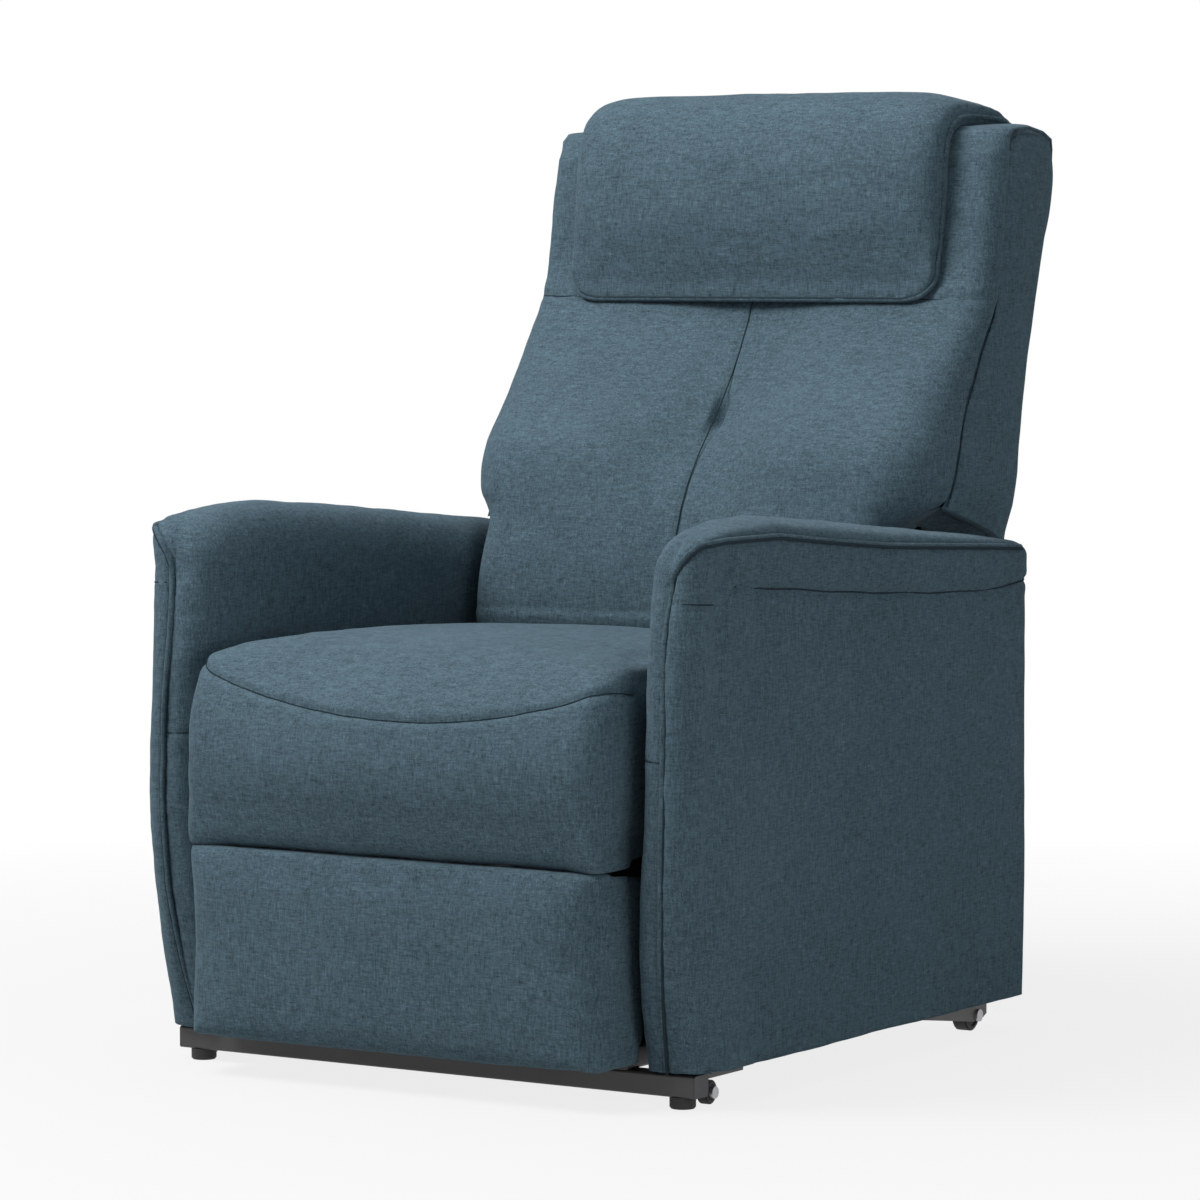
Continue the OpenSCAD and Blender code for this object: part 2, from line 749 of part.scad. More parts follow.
// Stands a ring up at height z, or under the top roll's seam
function at_height(ring, z) = [for (p = ring) [p.x, p.y, z]];
function at_seam(ring) = [for (p = ring) [p.x, p.y, seam_z(p.y) - soft_gap]];

// Stacks the rings of one side of an arm, which lies round x, up to the top roll's seam
module arm_column(rings_at, top_ring, x) {
    skin(concat(rings_at, [top_ring]), [x, 0, arm_bottom], [x, 0, seam_z(0) - soft_gap]);
}

module arm_side(side) {
    top = seam_z(-arm_front);
    // Shallow well behind the handset, in the right arm only
    well = [arm_outer + 1 + handset_back_x + soft_gap, handset_w + 2 * soft_gap, handset_h + 2 * soft_gap];
    color(FABRIC) difference() {
        on_side(side) arm_column([for (z = arm_levels) at_height(side_ring(z), z)],
            at_seam(side_ring(top)), (arm_split + arm_outer) / 2);
        if (side < 0)
            translate([-arm_outer - 1, handset_at.x - well.y / 2, handset_at.y - well.z / 2]) cube(well);
    }
}

arm_mid = (arm_inner + arm_outer) / 2;
// Section of the top roll as [x from the arm's middle, share of the height above the seam]
roll_section = [
    [-arm_w / 2 + 6, 0], [arm_w / 2 + 4, 0], [arm_w / 2 + roll_out, 0.3], [arm_w / 2 + roll_out - 1, 0.6],
    [arm_w / 2, 0.83], [18, 0.96], [0, 1], [-22, 0.94], [-arm_w / 2 + 2, 0.76], [-arm_w / 2 - 7, 0.5],
    [-arm_w / 2 - 6, 0.22]
];
// The roll's nose, as [y, share of its width, share of its height]
roll_ends = [[-434, 0.36, 0.55], [-429, 0.42, 0.78], [-415, 0.5, 0.93], [-385, 0.76, 1]];
function roll_crown(y) = arm_top - lookup(y, arm_crown);
function roll_ring(s) =
    let (
        low = seam_z(s.x),
        high = roll_crown(s.x),
        mid = (low + high) / 2 + 4,
        x = s.x < 0 ? arm_mid + 24 * (1 - s.y) : arm_mid
    )
        [for (p = roll_section) [x + p.x * s.y, s.x, mid + (low + (high - low) * p.y - mid) * s.z]];

module arm_pad(side) {
    rear_ends = [[arm_rear, 0.76, 0.86], [arm_rear - 6, 0.9, 0.95], [arm_rear - 25, 1, 1]];
    stations = concat(
        rear_ends,
        [for (i = [len(arm_crown) - 2:-1:3]) [arm_crown[i].x, 1, 1]],
        [for (i = [len(roll_ends) - 1:-1:0]) roll_ends[i]]
    );
    top = seam_z(-arm_front);
    color(FABRIC) on_side(side) {
        arm_column([for (z = arm_levels) at_height(inner_ring(z), z)],
            at_seam(inner_ring(top)), (arm_inner + arm_split) / 2);
        skin([for (s = stations) roll_ring(s)],
            [arm_mid, arm_rear, seam_z(arm_rear) + 30], [arm_mid + 15, roll_ends[0].x - 2, top + 30]);
    }
}

// ---- Control box and handset

module control_box() {
    box = [100, 96, 36];
    at = [60, front_bar_y + rail_h + 6, deck_z - box.z];
    inlet_r = 9;
    inlet_depth = 12;
    inlet = at + [box.x / 2, box.y - inlet_depth, box.z / 2];
    color(PLASTIC) difference() {
        translate(at) cube(box);
        translate(inlet) rotate([-90, 0, 0]) cylinder(h = inlet_depth + 1, r = inlet_r);
    }
    color(ZINC) for (x = [-5.5, 5.5])
        translate(inlet + [x, 0, 0]) rotate([-90, 0, 0]) cylinder(h = inlet_depth - 3, r = 1);
}

module handset_pocket() {
    w = handset_w + 2 * soft_gap;
    low = handset_at.y - handset_h / 2 - soft_gap;
    outer_x = handset_x - soft_gap - pocket_wall;
    color(FABRIC) difference() {
        translate([outer_x, handset_at.x - w / 2 - pocket_wall, low - pocket_wall])
            cube([-arm_outer - outer_x, w + 2 * pocket_wall, pocket_h]);
        translate([handset_x - soft_gap, handset_at.x - w / 2, low])
            cube([arm_w, w, pocket_h]);
    }
}

function button_at(i) = [
    handset_at.x + (i % 2 == 0 ? -1 : 1) * button_pitch.x / 2,
    handset_at.y + handset_h / 2 - 18 - floor(i / 2) * button_pitch.y
];

module handset() {
    hole = button_w + 2 * button_gap;
    color(PLASTIC) difference() {
        along_x(handset_x, handset_t)
            translate([handset_at.x - handset_w / 2, handset_at.y - handset_h / 2])
                round_rect(handset_w, handset_h, 10);
        for (i = [0:3])
            along_x(handset_x - 1, 1 + button_depth)
                translate(button_at(i) - [hole / 2, hole / 2]) square([hole, hole]);
    }
}

module handset_button(i) {
    stem = button_out + button_depth - 1.6;
    color(ZINC) along_x(handset_x - button_out, stem)
        translate(button_at(i) - [button_w / 2, button_w / 2]) round_rect(button_w, button_w, 2);
}

// ---- Back

board_z = [back_top - 592, back_top - 372, back_top - board_t - 4];
upright_top = [306, board_z[1] - soft_gap];
lever_tube = [192, 320];
back_inner = back_w / 2 - side_panel_t;

module back_uprights() {
    w = upright_w / 2;
    color(STEEL) both_sides() difference() {
        along_x(layer(1), upright_w) {
            disc(back_pivot, w + 3);
            polygon([
                back_pivot - [w, 0], back_pivot + [w, 0], upright_top + [w, 0], upright_top - [w, 0]
            ]);
        }
        along_x(layer(1) + tube_wall, upright_w - 2 * tube_wall) polygon([
            back_pivot + [12, 60] - [w - 3, 0], back_pivot + [12, 60] + [w - 3, 0],
            upright_top + [w - 3, 1], upright_top - [w - 3, -1]
        ]);
        along_x(layer(1) - 1, upright_w + 2) disc(back_pivot, lift_pin_r + fit);
    }
}

module back_boards() {
    reach = [layer(1) - soft_gap, back_inner - soft_gap, back_inner - soft_gap];
    color(WOOD) for (i = [0:2]) {
        z = board_z[i];
        front = mid_y(z + board_t) + soft_gap;
        rear = min(rear_y(z), rear_y(z + board_t)) - rear_panel_t - soft_gap;
        translate([-reach[i], front, z]) cube([2 * reach[i], rear - front, board_t]);
    }
}

module recline_lever() {
    ear_x = lever_w / 2 + plate_gap;
    tube_r = 12;
    color(STEEL) {
        along_x(-layer(1), 2 * layer(1)) disc(lever_tube, tube_r);
        for (x = [recline_x - ear_x - plate_t, recline_x + ear_x])
            along_x(x, plate_t) bar(lever_tube, d2, tube_r);
    }
    color(ZINC) along_x(recline_x - ear_x - plate_t, 2 * (ear_x + plate_t)) disc(d2, clevis_pin_r);
}

module back_side(side) {
    inner = rear_panel_t + soft_gap;
    rows = [for (i = [wing_row:len(back_rows) - 1]) if (back_rows[i][0] > 4) back_rows[i]];
    color(FABRIC) on_side(side) along_x(back_inner, side_panel_t) polygon(concat(
        [for (r = rows) [r[5] + soft_gap, back_top - r[0]]],
        [[mid_y(back_top - 4) + soft_gap, back_top - 4], [rear_y(back_top - 4) - inner, back_top - 4]],
        [for (i = [1:6]) [rear_rows[i][1] - inner, back_top - rear_rows[i][0]]],
        [[rear_y(rear_split) - inner, rear_split], [wing_rear_y, rear_split]]
    ));
}

// A strip of the rear panel between two rows of its outline
module rear_strip(rows, half) {
    color(FABRIC) along_x(-half, 2 * half) polygon(concat(
        [for (r = rows) [r[1], back_top - r[0]]],
        [for (i = [len(rows) - 1:-1:0]) [rows[i][1] - rear_panel_t, back_top - rows[i][0]]]
    ));
}

module back_rear_panel() {
    n = len(rear_rows);
    union() {
        rear_strip([for (i = [0:n - 2]) rear_rows[i]], back_w / 2);
        rear_strip([rear_rows[n - 2], rear_rows[n - 1]], back_low_w / 2);
    }
}

back_half = [0.06, 0.15, 0.3, 0.5, 0.7, 0.86, 0.96, 0.99, 1];
back_stations = concat([for (i = [len(back_half) - 1:-1:0]) -back_half[i]], [0], back_half);
// Front of the cushion at share u of a row's half width: two lobes beside a tufted middle seam
function back_front(row, u) =
    row[4] + (row[3] - row[4]) * sqrt(1 - pow(abs(u), 14)) + (row[2] - row[3]) * exp(-pow(u / 0.22, 2));
function back_ring(row) = concat(
    [for (u = back_stations) [u * row[1], back_front(row, u), back_top - row[0]]],
    [[row[1], row[5], back_top - row[0]], [-row[1], row[5], back_top - row[0]]]
);

module back_cushion() {
    low = back_rows[0];
    high = back_rows[len(back_rows) - 1];
    color(FABRIC) skin([for (row = back_rows) back_ring(row)],
        [0, (low[2] + low[5]) / 2, back_top - low[0]], [0, (high[2] + high[5]) / 2, back_top - high[0]]);
}

// ---- Headrest pillow

flap_t = 6;
pillow_stations = [-1, -0.97, -0.88, -0.7, -0.45, -0.2, 0, 0.2, 0.45, 0.7, 0.88, 0.97, 1];
pillow_n = len(pillow_path);
function pillow_in(i) = [pillow_path[i][1], back_top - pillow_path[i][0]];
function pillow_normal(i) =
    let (d = pillow_in(min(i + 1, pillow_n - 1)) - pillow_in(max(i - 1, 0))) [-d.y, d.x] / norm(d);
function pillow_swell(i, u) =
    max(flap_t, pillow_t * pillow_path[i][2] * (0.3 + 0.7 * sqrt(1 - pow(abs(u), 3))));
function pillow_lift(i, u) = i < 2 ? 20 * pow(abs(u), 8) : 0;
function pillow_ring(u) = [
    for (k = [0:2 * pillow_n - 1])
        let (
            outer = k >= pillow_n,
            i = outer ? 2 * pillow_n - 1 - k : k,
            p = pillow_in(i) + (outer ? pillow_swell(i, u) : 0) * pillow_normal(i)
        )
            [u * pillow_w / 2, p.x, p.y + pillow_lift(i, u)]
];

module headrest_pillow() {
    color(FABRIC) folded_skin([for (u = pillow_stations) pillow_ring(u)]);
}

module recline_motor() {
    color(PLASTIC) translate([recline_x, h2.x, h2.y]) rotate([recline_angle, 0, 0])
        motor_half(recline_tube_r, recline_rod_r, recline_stroke[0], recline_stroke[1]);
}

module recline_rod() {
    color(ZINC) translate([recline_x, h2.x, h2.y]) rotate([recline_angle, 0, 0])
        rod_half(recline_rod_r, recline_stroke[2], recline_len, recline_play);
}

// ---- Footrest

pad_front = seat_front - 13;
pad_back = -pad_front + pad_t;
board_back = pad_back + foot_board_t;
return_w = 20;
carrier_tube = [-395, 150];

module footrest_links(s, m) {
    color(STEEL) both_sides() along_x(layer(-1), plate_t) difference() {
        bar(s, m, link_r);
        for (p = [s, m]) disc(p, link_pin_r + fit);
    }
}

module footrest_front_links() {
    footrest_links(s1, m1);
}

module footrest_rear_links() {
    footrest_links(s2, m2);
}

module footrest_carrier() {
    x = layer(-2);
    color(STEEL) {
        both_sides() along_x(x, plate_t) difference() {
            union() {
                bar(m1, m2, link_r);
                bar(m1, p1, link_r);
                bar(m2, p1, link_r);
                polygon([m1, m2, p1]);
            }
            disc(p1, link_pin_r + fit);
        }
        difference() {
            along_x(-x, 2 * x) disc(carrier_tube, link_r);
            along_x(-x - 1, 2 * x + 2) disc(carrier_tube, link_r - tube_wall);
        }
    }
    color(ZINC) both_sides() for (p = [m1, m2])
        along_x(x + plate_t, layer(-1) - x) disc(p, link_pin_r);
}

module footrest_board() {
    half = pad_w / 2 - return_w - 5.5;
    color(WOOD) along_x(-half, 2 * half)
        translate([pad_back, pad_bottom + 6]) square([foot_board_t, pad_top - pad_bottom - 12]);
    color(STEEL) both_sides() along_x(layer(-3), plate_t) {
        disc(p1, link_r);
        translate([board_back - 4, p1.y - link_r]) square([p1.x - board_back + 4, 2 * link_r]);
    }
    color(ZINC) both_sides()
        along_x(layer(-3) + plate_t, layer(-2) - layer(-3)) disc(p1, link_pin_r);
}

// Outline of the pad drawn in by inset, seen from the front, with its long sides pulled in a little
function pad_ring(y, inset) =
    let (
        w = pad_w / 2 - inset,
        low = pad_bottom + inset,
        high = pad_top - inset,
        r = 24,
        t = 10,
        pull = 2
    )
        concat(
            [[0, y, low + pull]],
            [for (a = [-90:30:0]) [w - r + r * cos(a), y, low + r + r * sin(a)]],
            [[w - pull, y, (low + high) / 2]],
            [for (a = [0:45:90]) [w - t + t * cos(a), y, high - t + t * sin(a)]],
            [[0, y, high - pull]],
            [for (a = [90:45:180]) [t - w + t * cos(a), y, high - t + t * sin(a)]],
            [[pull - w, y, (low + high) / 2]],
            [for (a = [180:30:270]) [r - w + r * cos(a), y, low + r + r * sin(a)]]
        );

module footrest_pad() {
    steps = [[0, 1], [10, 0], [22, 1.5], [29, 6], [33, 15], [34.5, 30]];
    color(FABRIC) {
        skin([for (s = steps) pad_ring(pad_back - s[0] * pad_t / 35, s[1])],
            [0, pad_back, (pad_bottom + pad_top) / 2], [0, -pad_front - 3, (pad_bottom + pad_top) / 2]);
        both_sides() along_x(pad_w / 2 - 3 - return_w, return_w)
            translate([pad_back - 2, pad_bottom + 16])
                round_rect(pad_return + 2, pad_top - pad_bottom - 26, 6);
    }
}

base_front_rail();
base_rear_rail();
base_side_rail(1);  // base_side_rail_left
base_side_rail(-1);  // base_side_rail_right
rail_end_caps();
front_foot(1);  // front_foot_left
front_foot(-1);  // front_foot_right
wheel_bracket(1);  // wheel_bracket_left
wheel_bracket(-1);  // wheel_bracket_right
roller_brackets();
wheel_axles();
lift_bracket(1);  // lift_bracket_left
lift_bracket(-1);  // lift_bracket_right
base_pins();
rear_wheel(1);  // rear_wheel_left
rear_wheel(-1);  // rear_wheel_right
front_roller(1);  // front_roller_left
front_roller(-1);  // front_roller_right
lower_arm(1);  // lower_arm_left
lower_arm(-1);  // lower_arm_right
lift_cross_tube();
upper_arm(1);  // upper_arm_left
upper_arm(-1);  // upper_arm_right
lift_motor();
lift_rod();
carriage_plate(1);  // carriage_plate_left
carriage_plate(-1);  // carriage_plate_right
seat_rail(1);  // seat_rail_left
seat_rail(-1);  // seat_rail_right
seat_crossbars();
seat_deck();
arm_brackets();
chair_pins();
seat_cushion();
arm_side(1);  // arm_side_left
arm_side(-1);  // arm_side_right
arm_pad(1);  // arm_pad_left
arm_pad(-1);  // arm_pad_right
control_box();
handset_pocket();
handset();
handset_button(0);  // handset_button_1
handset_button(1);  // handset_button_2
handset_button(2);  // handset_button_3
handset_button(3);  // handset_button_4
back_uprights();
back_boards();
recline_lever();
back_side(1);  // back_side_left
back_side(-1);  // back_side_right
back_rear_panel();
back_cushion();
headrest_pillow();
recline_motor();
recline_rod();
footrest_front_links();
footrest_rear_links();
footrest_carrier();
footrest_board();
footrest_pad();
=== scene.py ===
import json
import math

import bmesh
import bpy
import numpy as np
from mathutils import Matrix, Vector


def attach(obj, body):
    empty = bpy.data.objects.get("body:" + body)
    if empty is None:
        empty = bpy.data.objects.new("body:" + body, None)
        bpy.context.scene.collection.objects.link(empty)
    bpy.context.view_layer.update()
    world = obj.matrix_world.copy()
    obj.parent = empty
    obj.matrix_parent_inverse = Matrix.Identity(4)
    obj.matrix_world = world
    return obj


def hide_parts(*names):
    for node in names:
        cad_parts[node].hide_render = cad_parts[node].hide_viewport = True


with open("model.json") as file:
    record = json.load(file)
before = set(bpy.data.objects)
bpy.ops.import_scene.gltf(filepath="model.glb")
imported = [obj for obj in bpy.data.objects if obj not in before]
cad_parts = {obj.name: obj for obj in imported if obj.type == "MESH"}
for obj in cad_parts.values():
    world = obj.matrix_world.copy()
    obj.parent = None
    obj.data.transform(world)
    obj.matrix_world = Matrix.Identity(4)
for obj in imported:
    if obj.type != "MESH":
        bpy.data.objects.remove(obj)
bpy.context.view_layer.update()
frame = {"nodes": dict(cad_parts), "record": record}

# Lengths in this script are millimetres until a mesh is made.
MM = 0.001


# ---- Small tools -----------------------------

def curve(xs, ys, x, soft=0.0):
    """Interpolates ys over xs, with corners rounded over about soft."""
    x = np.asarray(x, float)
    if soft == 0:
        return np.interp(x, xs, ys)
    offsets = np.linspace(-1.5, 1.5, 7)
    weights = np.exp(-offsets**2)
    return sum(w * np.interp(x + o * soft, xs, ys) for o, w in zip(offsets, weights)) / weights.sum()


def noise(p, size, seed):
    """Smooth noise from -1 to 1, with features about size wide, the same on each run."""
    made = np.random.RandomState(seed)
    total = np.zeros(len(p))
    for _ in range(14):
        d = made.normal(size=3)
        d *= made.uniform(0.6, 1.5) * math.pi / size / np.linalg.norm(d)
        total += np.sin(p @ d + made.uniform(0, 2 * math.pi))
    return total / 4.5


def unit(rows):
    return rows / np.linalg.norm(rows, axis=1)[:, None]


def resample(points, n):
    """n points at equal steps along a polyline."""
    points = np.asarray(points, float)
    step = np.linalg.norm(np.diff(points, axis=0), axis=1)
    along = np.concatenate([[0], np.cumsum(step)])
    at = np.linspace(0, 1, n) * along[-1]
    return np.stack([np.interp(at, along, points[:, k]) for k in range(points.shape[1])], 1)


def smooth_path(points, n, rounds=3):
    """A rounded path through or near a few points."""
    p = np.asarray(points, float)
    for _ in range(rounds):
        a, b = p[:-1], p[1:]
        cut = np.stack([0.75 * a + 0.25 * b, 0.25 * a + 0.75 * b], 1).reshape(-1, p.shape[1])
        p = np.concatenate([p[:1], cut, p[-1:]])
    return resample(p, n)


def distance(p, path):
    """Distance from each point of p to a polyline, and how far along the polyline its nearest point is."""
    best = np.full(len(p), 1e9)
    where = np.zeros(len(p))
    done = 0.0
    for a, b in zip(path[:-1], path[1:]):
        ab = b - a
        length = np.linalg.norm(ab)
        t = np.clip((p - a) @ ab / max(length**2, 1e-9), 0, 1)
        d = np.linalg.norm(p - a - t[:, None] * ab, axis=1)
        closer = d < best
        best[closer] = d[closer]
        where[closer] = done + t[closer] * length
        done += length
    return best, where


def grid(m, n, wrap=False, base=0):
    """Quads of an m by n grid of points, row by row; wrap joins the last column to the first."""
    i, j = np.meshgrid(np.arange(m - 1), np.arange(n if wrap else n - 1), indexing="ij")
    k = (j + 1) % n
    quads = np.stack([i * n + j, i * n + k, (i + 1) * n + k, (i + 1) * n + j], -1)
    return quads.reshape(-1, 4) + base


def grid_mesh(rows, wrap=False):
    return np.concatenate(rows), grid(len(rows), len(rows[0]), wrap=wrap)


def closed_mesh(rings, first=None, last=None):
    """A tube of rings with both ends closed by fans to the points first and last, or to the end rings' middles."""
    first = rings[0].mean(0) if first is None else first
    last = rings[-1].mean(0) if last is None else last
    n, end = len(rings[0]), (len(rings) - 1) * len(rings[0])
    points = np.concatenate([*rings, [first], [last]])
    faces = [tuple(f) for f in grid(len(rings), n, wrap=True)]
    faces += [(len(points) - 2, (j + 1) % n, j) for j in range(n)]
    faces += [(len(points) - 1, end + j, end + (j + 1) % n) for j in range(n)]
    return points, faces


def make(name, points, faces, material, weld=0.05):
    """A smooth mesh object from points in mm; points closer than weld are joined."""
    mesh = bpy.data.meshes.new(name)
    mesh.from_pydata((np.asarray(points) * MM).tolist(), [], [tuple(int(i) for i in f) for f in faces])
    piece = bpy.data.objects.new(name, mesh)
    bpy.context.scene.collection.objects.link(piece)
    if weld:
        work = bmesh.new()
        work.from_mesh(mesh)
        bmesh.ops.remove_doubles(work, verts=work.verts, dist=weld * MM)
        bmesh.ops.dissolve_degenerate(work, edges=work.edges, dist=1e-6)
        bmesh.ops.recalc_face_normals(work, faces=work.faces)
        work.to_mesh(mesh)
        work.free()
    mesh.polygons.foreach_set("use_smooth", [True] * len(mesh.polygons))
    mesh.materials.append(material)
    mesh.update()
    return piece


def points_of(piece):
    mesh = piece.data
    p = np.empty(len(mesh.vertices) * 3)
    mesh.vertices.foreach_get("co", p)
    n = np.empty(len(mesh.vertices) * 3)
    mesh.vertex_normals.foreach_get("vector", n)
    return p.reshape(-1, 3) / MM, n.reshape(-1, 3)


def move_points(piece, p):
    piece.data.vertices.foreach_set("co", (np.asarray(p) * MM).ravel())
    piece.data.update()


def press(piece, path, depth, width, pucker=0.0, seed=1, lip=0.35, spacing=26):
    """Draws a seam into a piece along a path: a narrow valley, a soft lip beside it and small gathers."""
    p, n = points_of(piece)
    low, high = path.min(0) - 60, path.max(0) + 60
    near = np.all((p > low) & (p < high), axis=1)
    q = p[near]
    d, along = distance(q, path)
    wave = 0.5 + 0.5 * np.sin(along * 2 * math.pi / spacing + 2.0 * noise(q, 60, seed))
    move = -depth * np.exp(-(d / width) ** 2) + lip * depth * np.exp(-((d - 2.6 * width) / (2 * width)) ** 2)
    move += -pucker * wave * np.exp(-d / (5 * width)) + pucker * 0.4 * noise(q, 12, seed + 5) * np.exp(-d / (6 * width))
    p[near] += n[near] * move[:, None]
    move_points(piece, p)


def soften(piece, amount, size, seed, fine=0.0):
    """Small unevenness of cloth over padding."""
    p, n = points_of(piece)
    move = amount * noise(p, size, seed) + fine * noise(p, size / 4, seed + 1)
    move_points(piece, p + n * move[:, None])


def tube(name, path, r, material, sides=10, wobble=0.0, seed=3):
    """A round cord along a path in mm."""
    path = np.asarray(path, float)
    tangent = np.gradient(path, axis=0)
    tangent = unit(tangent)
    side = np.cross(tangent[0], [0.3, 0.2, 0.93])
    rings = []
    radius = r * (1 + wobble * noise(path, 9, seed))
    for p, t, rr in zip(path, tangent, radius):
        side = side - t * (side @ t)
        side /= np.linalg.norm(side)
        up = np.cross(t, side)
        a = np.arange(sides) * 2 * math.pi / sides
        rings.append(p + rr * (np.cos(a)[:, None] * side + np.sin(a)[:, None] * up))
    return make(name, *closed_mesh(rings, path[0], path[-1]), material, weld=0)


def stitches(name, path, material, length=4.2, gap=1.6, r=0.5):
    """A row of thread stitches along a path that lies on a surface."""
    path = np.asarray(path, float)
    total = np.linalg.norm(np.diff(path, axis=0), axis=1).sum()
    n = int(total / (length + gap))
    fine = resample(path, n * 8 + 1)
    points, faces, base = [], [], 0
    angles = np.arange(6) * math.pi / 3
    for i in range(n):
        run = fine[i * 8:i * 8 + 7]
        t = run[-1] - run[0]
        t /= np.linalg.norm(t)
        side = np.cross(t, [0.31, -0.7, 0.64])
        side /= np.linalg.norm(side)
        up = np.cross(t, side)
        for k, c in enumerate(run):
            rr = r * (0.35 if k in (0, 6) else 1)
            points.append(c + rr * (np.cos(angles)[:, None] * side + np.sin(angles)[:, None] * up))
        faces.append(grid(7, 6, wrap=True, base=base))
        base += 42
    return make(name, np.concatenate(points), np.concatenate(faces), material, weld=0)


def onto(piece, points, lift=0.0):
    """Moves points to the nearest place on a piece, and lift further out."""
    tree_points, tree_normals = points_of(piece)
    out = []
    for p in np.asarray(points, float):
        d = np.linalg.norm(tree_points - p, axis=1)
        k = np.argsort(d)[:4]
        w = 1 / (d[k] + 0.3)
        w /= w.sum()
        n = (tree_normals[k] * w[:, None]).sum(0)
        n /= np.linalg.norm(n)
        c = (tree_points[k] * w[:, None]).sum(0)
        out.append(p - n * ((p - c) @ n) + n * lift)
    return np.array(out)


def puff(piece, cap, pressure=4.0, voxel=6.0, frames=20, hold=None):
    """Fills a closed soft form: cloth under pressure, with each point's movement capped, then a finer mesh.
    hold(before, after) keeps the result off the neighbours."""
    remesh = piece.modifiers.new("remesh", "REMESH")
    remesh.mode = "VOXEL"
    remesh.voxel_size = voxel * MM
    apply_modifiers(piece)
    before, _ = points_of(piece)
    after = before.copy()
    cloth = piece.modifiers.new("cloth", "CLOTH")
    cloth.settings.use_pressure = True
    cloth.settings.uniform_pressure_force = pressure
    cloth.settings.effector_weights.gravity = 0
    cloth.settings.quality = 4
    cloth.collision_settings.use_collision = False
    cloth.point_cache.frame_start, cloth.point_cache.frame_end = 1, frames
    for f in range(1, frames + 1):
        bpy.context.scene.frame_set(f)
    apply_modifiers(piece)
    bpy.context.scene.frame_set(1)
    after, _ = points_of(piece)
    move = after - before
    far = np.linalg.norm(move, axis=1)
    share = cap * np.tanh(far / cap) / np.maximum(far, 1e-6)
    after = before + move * share[:, None]
    move_points(piece, hold(before, after) if hold else after)
    fine = piece.modifiers.new("fine", "SUBSURF")
    fine.levels = fine.render_levels = 1
    apply_modifiers(piece)
    piece.data.polygons.foreach_set("use_smooth", [True] * len(piece.data.polygons))
    return piece


def apply_modifiers(piece):
    """Replaces a piece's mesh by the one that its modifiers give."""
    graph = bpy.context.evaluated_depsgraph_get()
    graph.update()
    made = bpy.data.meshes.new_from_object(piece.evaluated_get(graph))
    old = piece.data
    piece.modifiers.clear()
    piece.data = made
    bpy.data.meshes.remove(old)


def seam(name, pieces, path, body, depth=2.4, width=3.2, pucker=0.5, seed=1, spacing=30, lift=-0.1):
    """Sews a line into one piece, or into two that meet there: a drawn-in valley with a thin dark cord in it, painted
    shadow of the seam's gap.
    """
    line = onto(pieces[0], path)
    for k, piece in enumerate(pieces):
        press(piece, line, depth, width, pucker, seed + k, 0.45, spacing)
    line = onto(pieces[0], line, lift)
    return place(tube(name, line, 0.85, painted_seam_shadow, sides=6), body)


def place(piece, body, replaced=()):
    """Fixes a cloth piece to a body; replaced are the CAD nodes that it stands for."""
    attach(piece, body)
    if replaced:
        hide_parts(*replaced)
    return piece


# ---- Materials -------------------------------

class Nodes:
    """Builds a node tree with few words."""

    def __init__(self, name):
        self.material = bpy.data.materials.new(name)
        self.material.use_nodes = True
        self.tree = self.material.node_tree
        self.tree.nodes.clear()
        self.out = self.add("ShaderNodeOutputMaterial")
        self.shader = self.add("ShaderNodeBsdfPrincipled")
        self.link(self.shader, "BSDF", self.out, "Surface")
        self.place = self.add("ShaderNodeTexCoord")

    def add(self, kind, **values):
        node = self.tree.nodes.new(kind)
        for key, value in values.items():
            if key in node.inputs:
                node.inputs[key].default_value = value
            else:
                setattr(node, key, value)
        return node

    def link(self, a, out, b, into):
        self.tree.links.new(a.outputs[out], b.inputs[into])

    def set(self, **values):
        for key, value in values.items():
            self.shader.inputs[key.replace("_", " ")].default_value = value

    def mapped(self, scale):
        node = self.add("ShaderNodeMapping", Scale=scale)
        self.link(self.place, "Object", node, "Vector")
        return node

    def noise(self, scale, detail=2.0, rough=0.5, stretch=(1, 1, 1)):
        node = self.add("ShaderNodeTexNoise", Scale=scale, Detail=detail, Roughness=rough)
        self.link(self.mapped(stretch), "Vector", node, "Vector")
        return node

    def math(self, operation, a, b):
        node = self.add("ShaderNodeMath", operation=operation)
        for k, value in enumerate((a, b)):
            if isinstance(value, (int, float)):
                node.inputs[k].default_value = value
            else:
                self.tree.links.new(value, node.inputs[k])
        return node.outputs[0]

    def ramp(self, value, stops):
        node = self.add("ShaderNodeValToRGB")
        while len(node.color_ramp.elements) < len(stops):
            node.color_ramp.elements.new(0.5)
        for element, (at, colour) in zip(node.color_ramp.elements, stops):
            element.position = at
            element.color = (*colour, 1)
        self.tree.links.new(value, node.inputs[0])
        return node

    def bump(self, height, strength, distance):
        node = self.add("ShaderNodeBump", Strength=strength, Distance=distance)
        self.tree.links.new(height, node.inputs["Height"])
        self.link(node, "Normal", self.shader, "Normal")
        return node


def shade(colour, k):
    return tuple(min(c * k, 1.0) for c in colour)


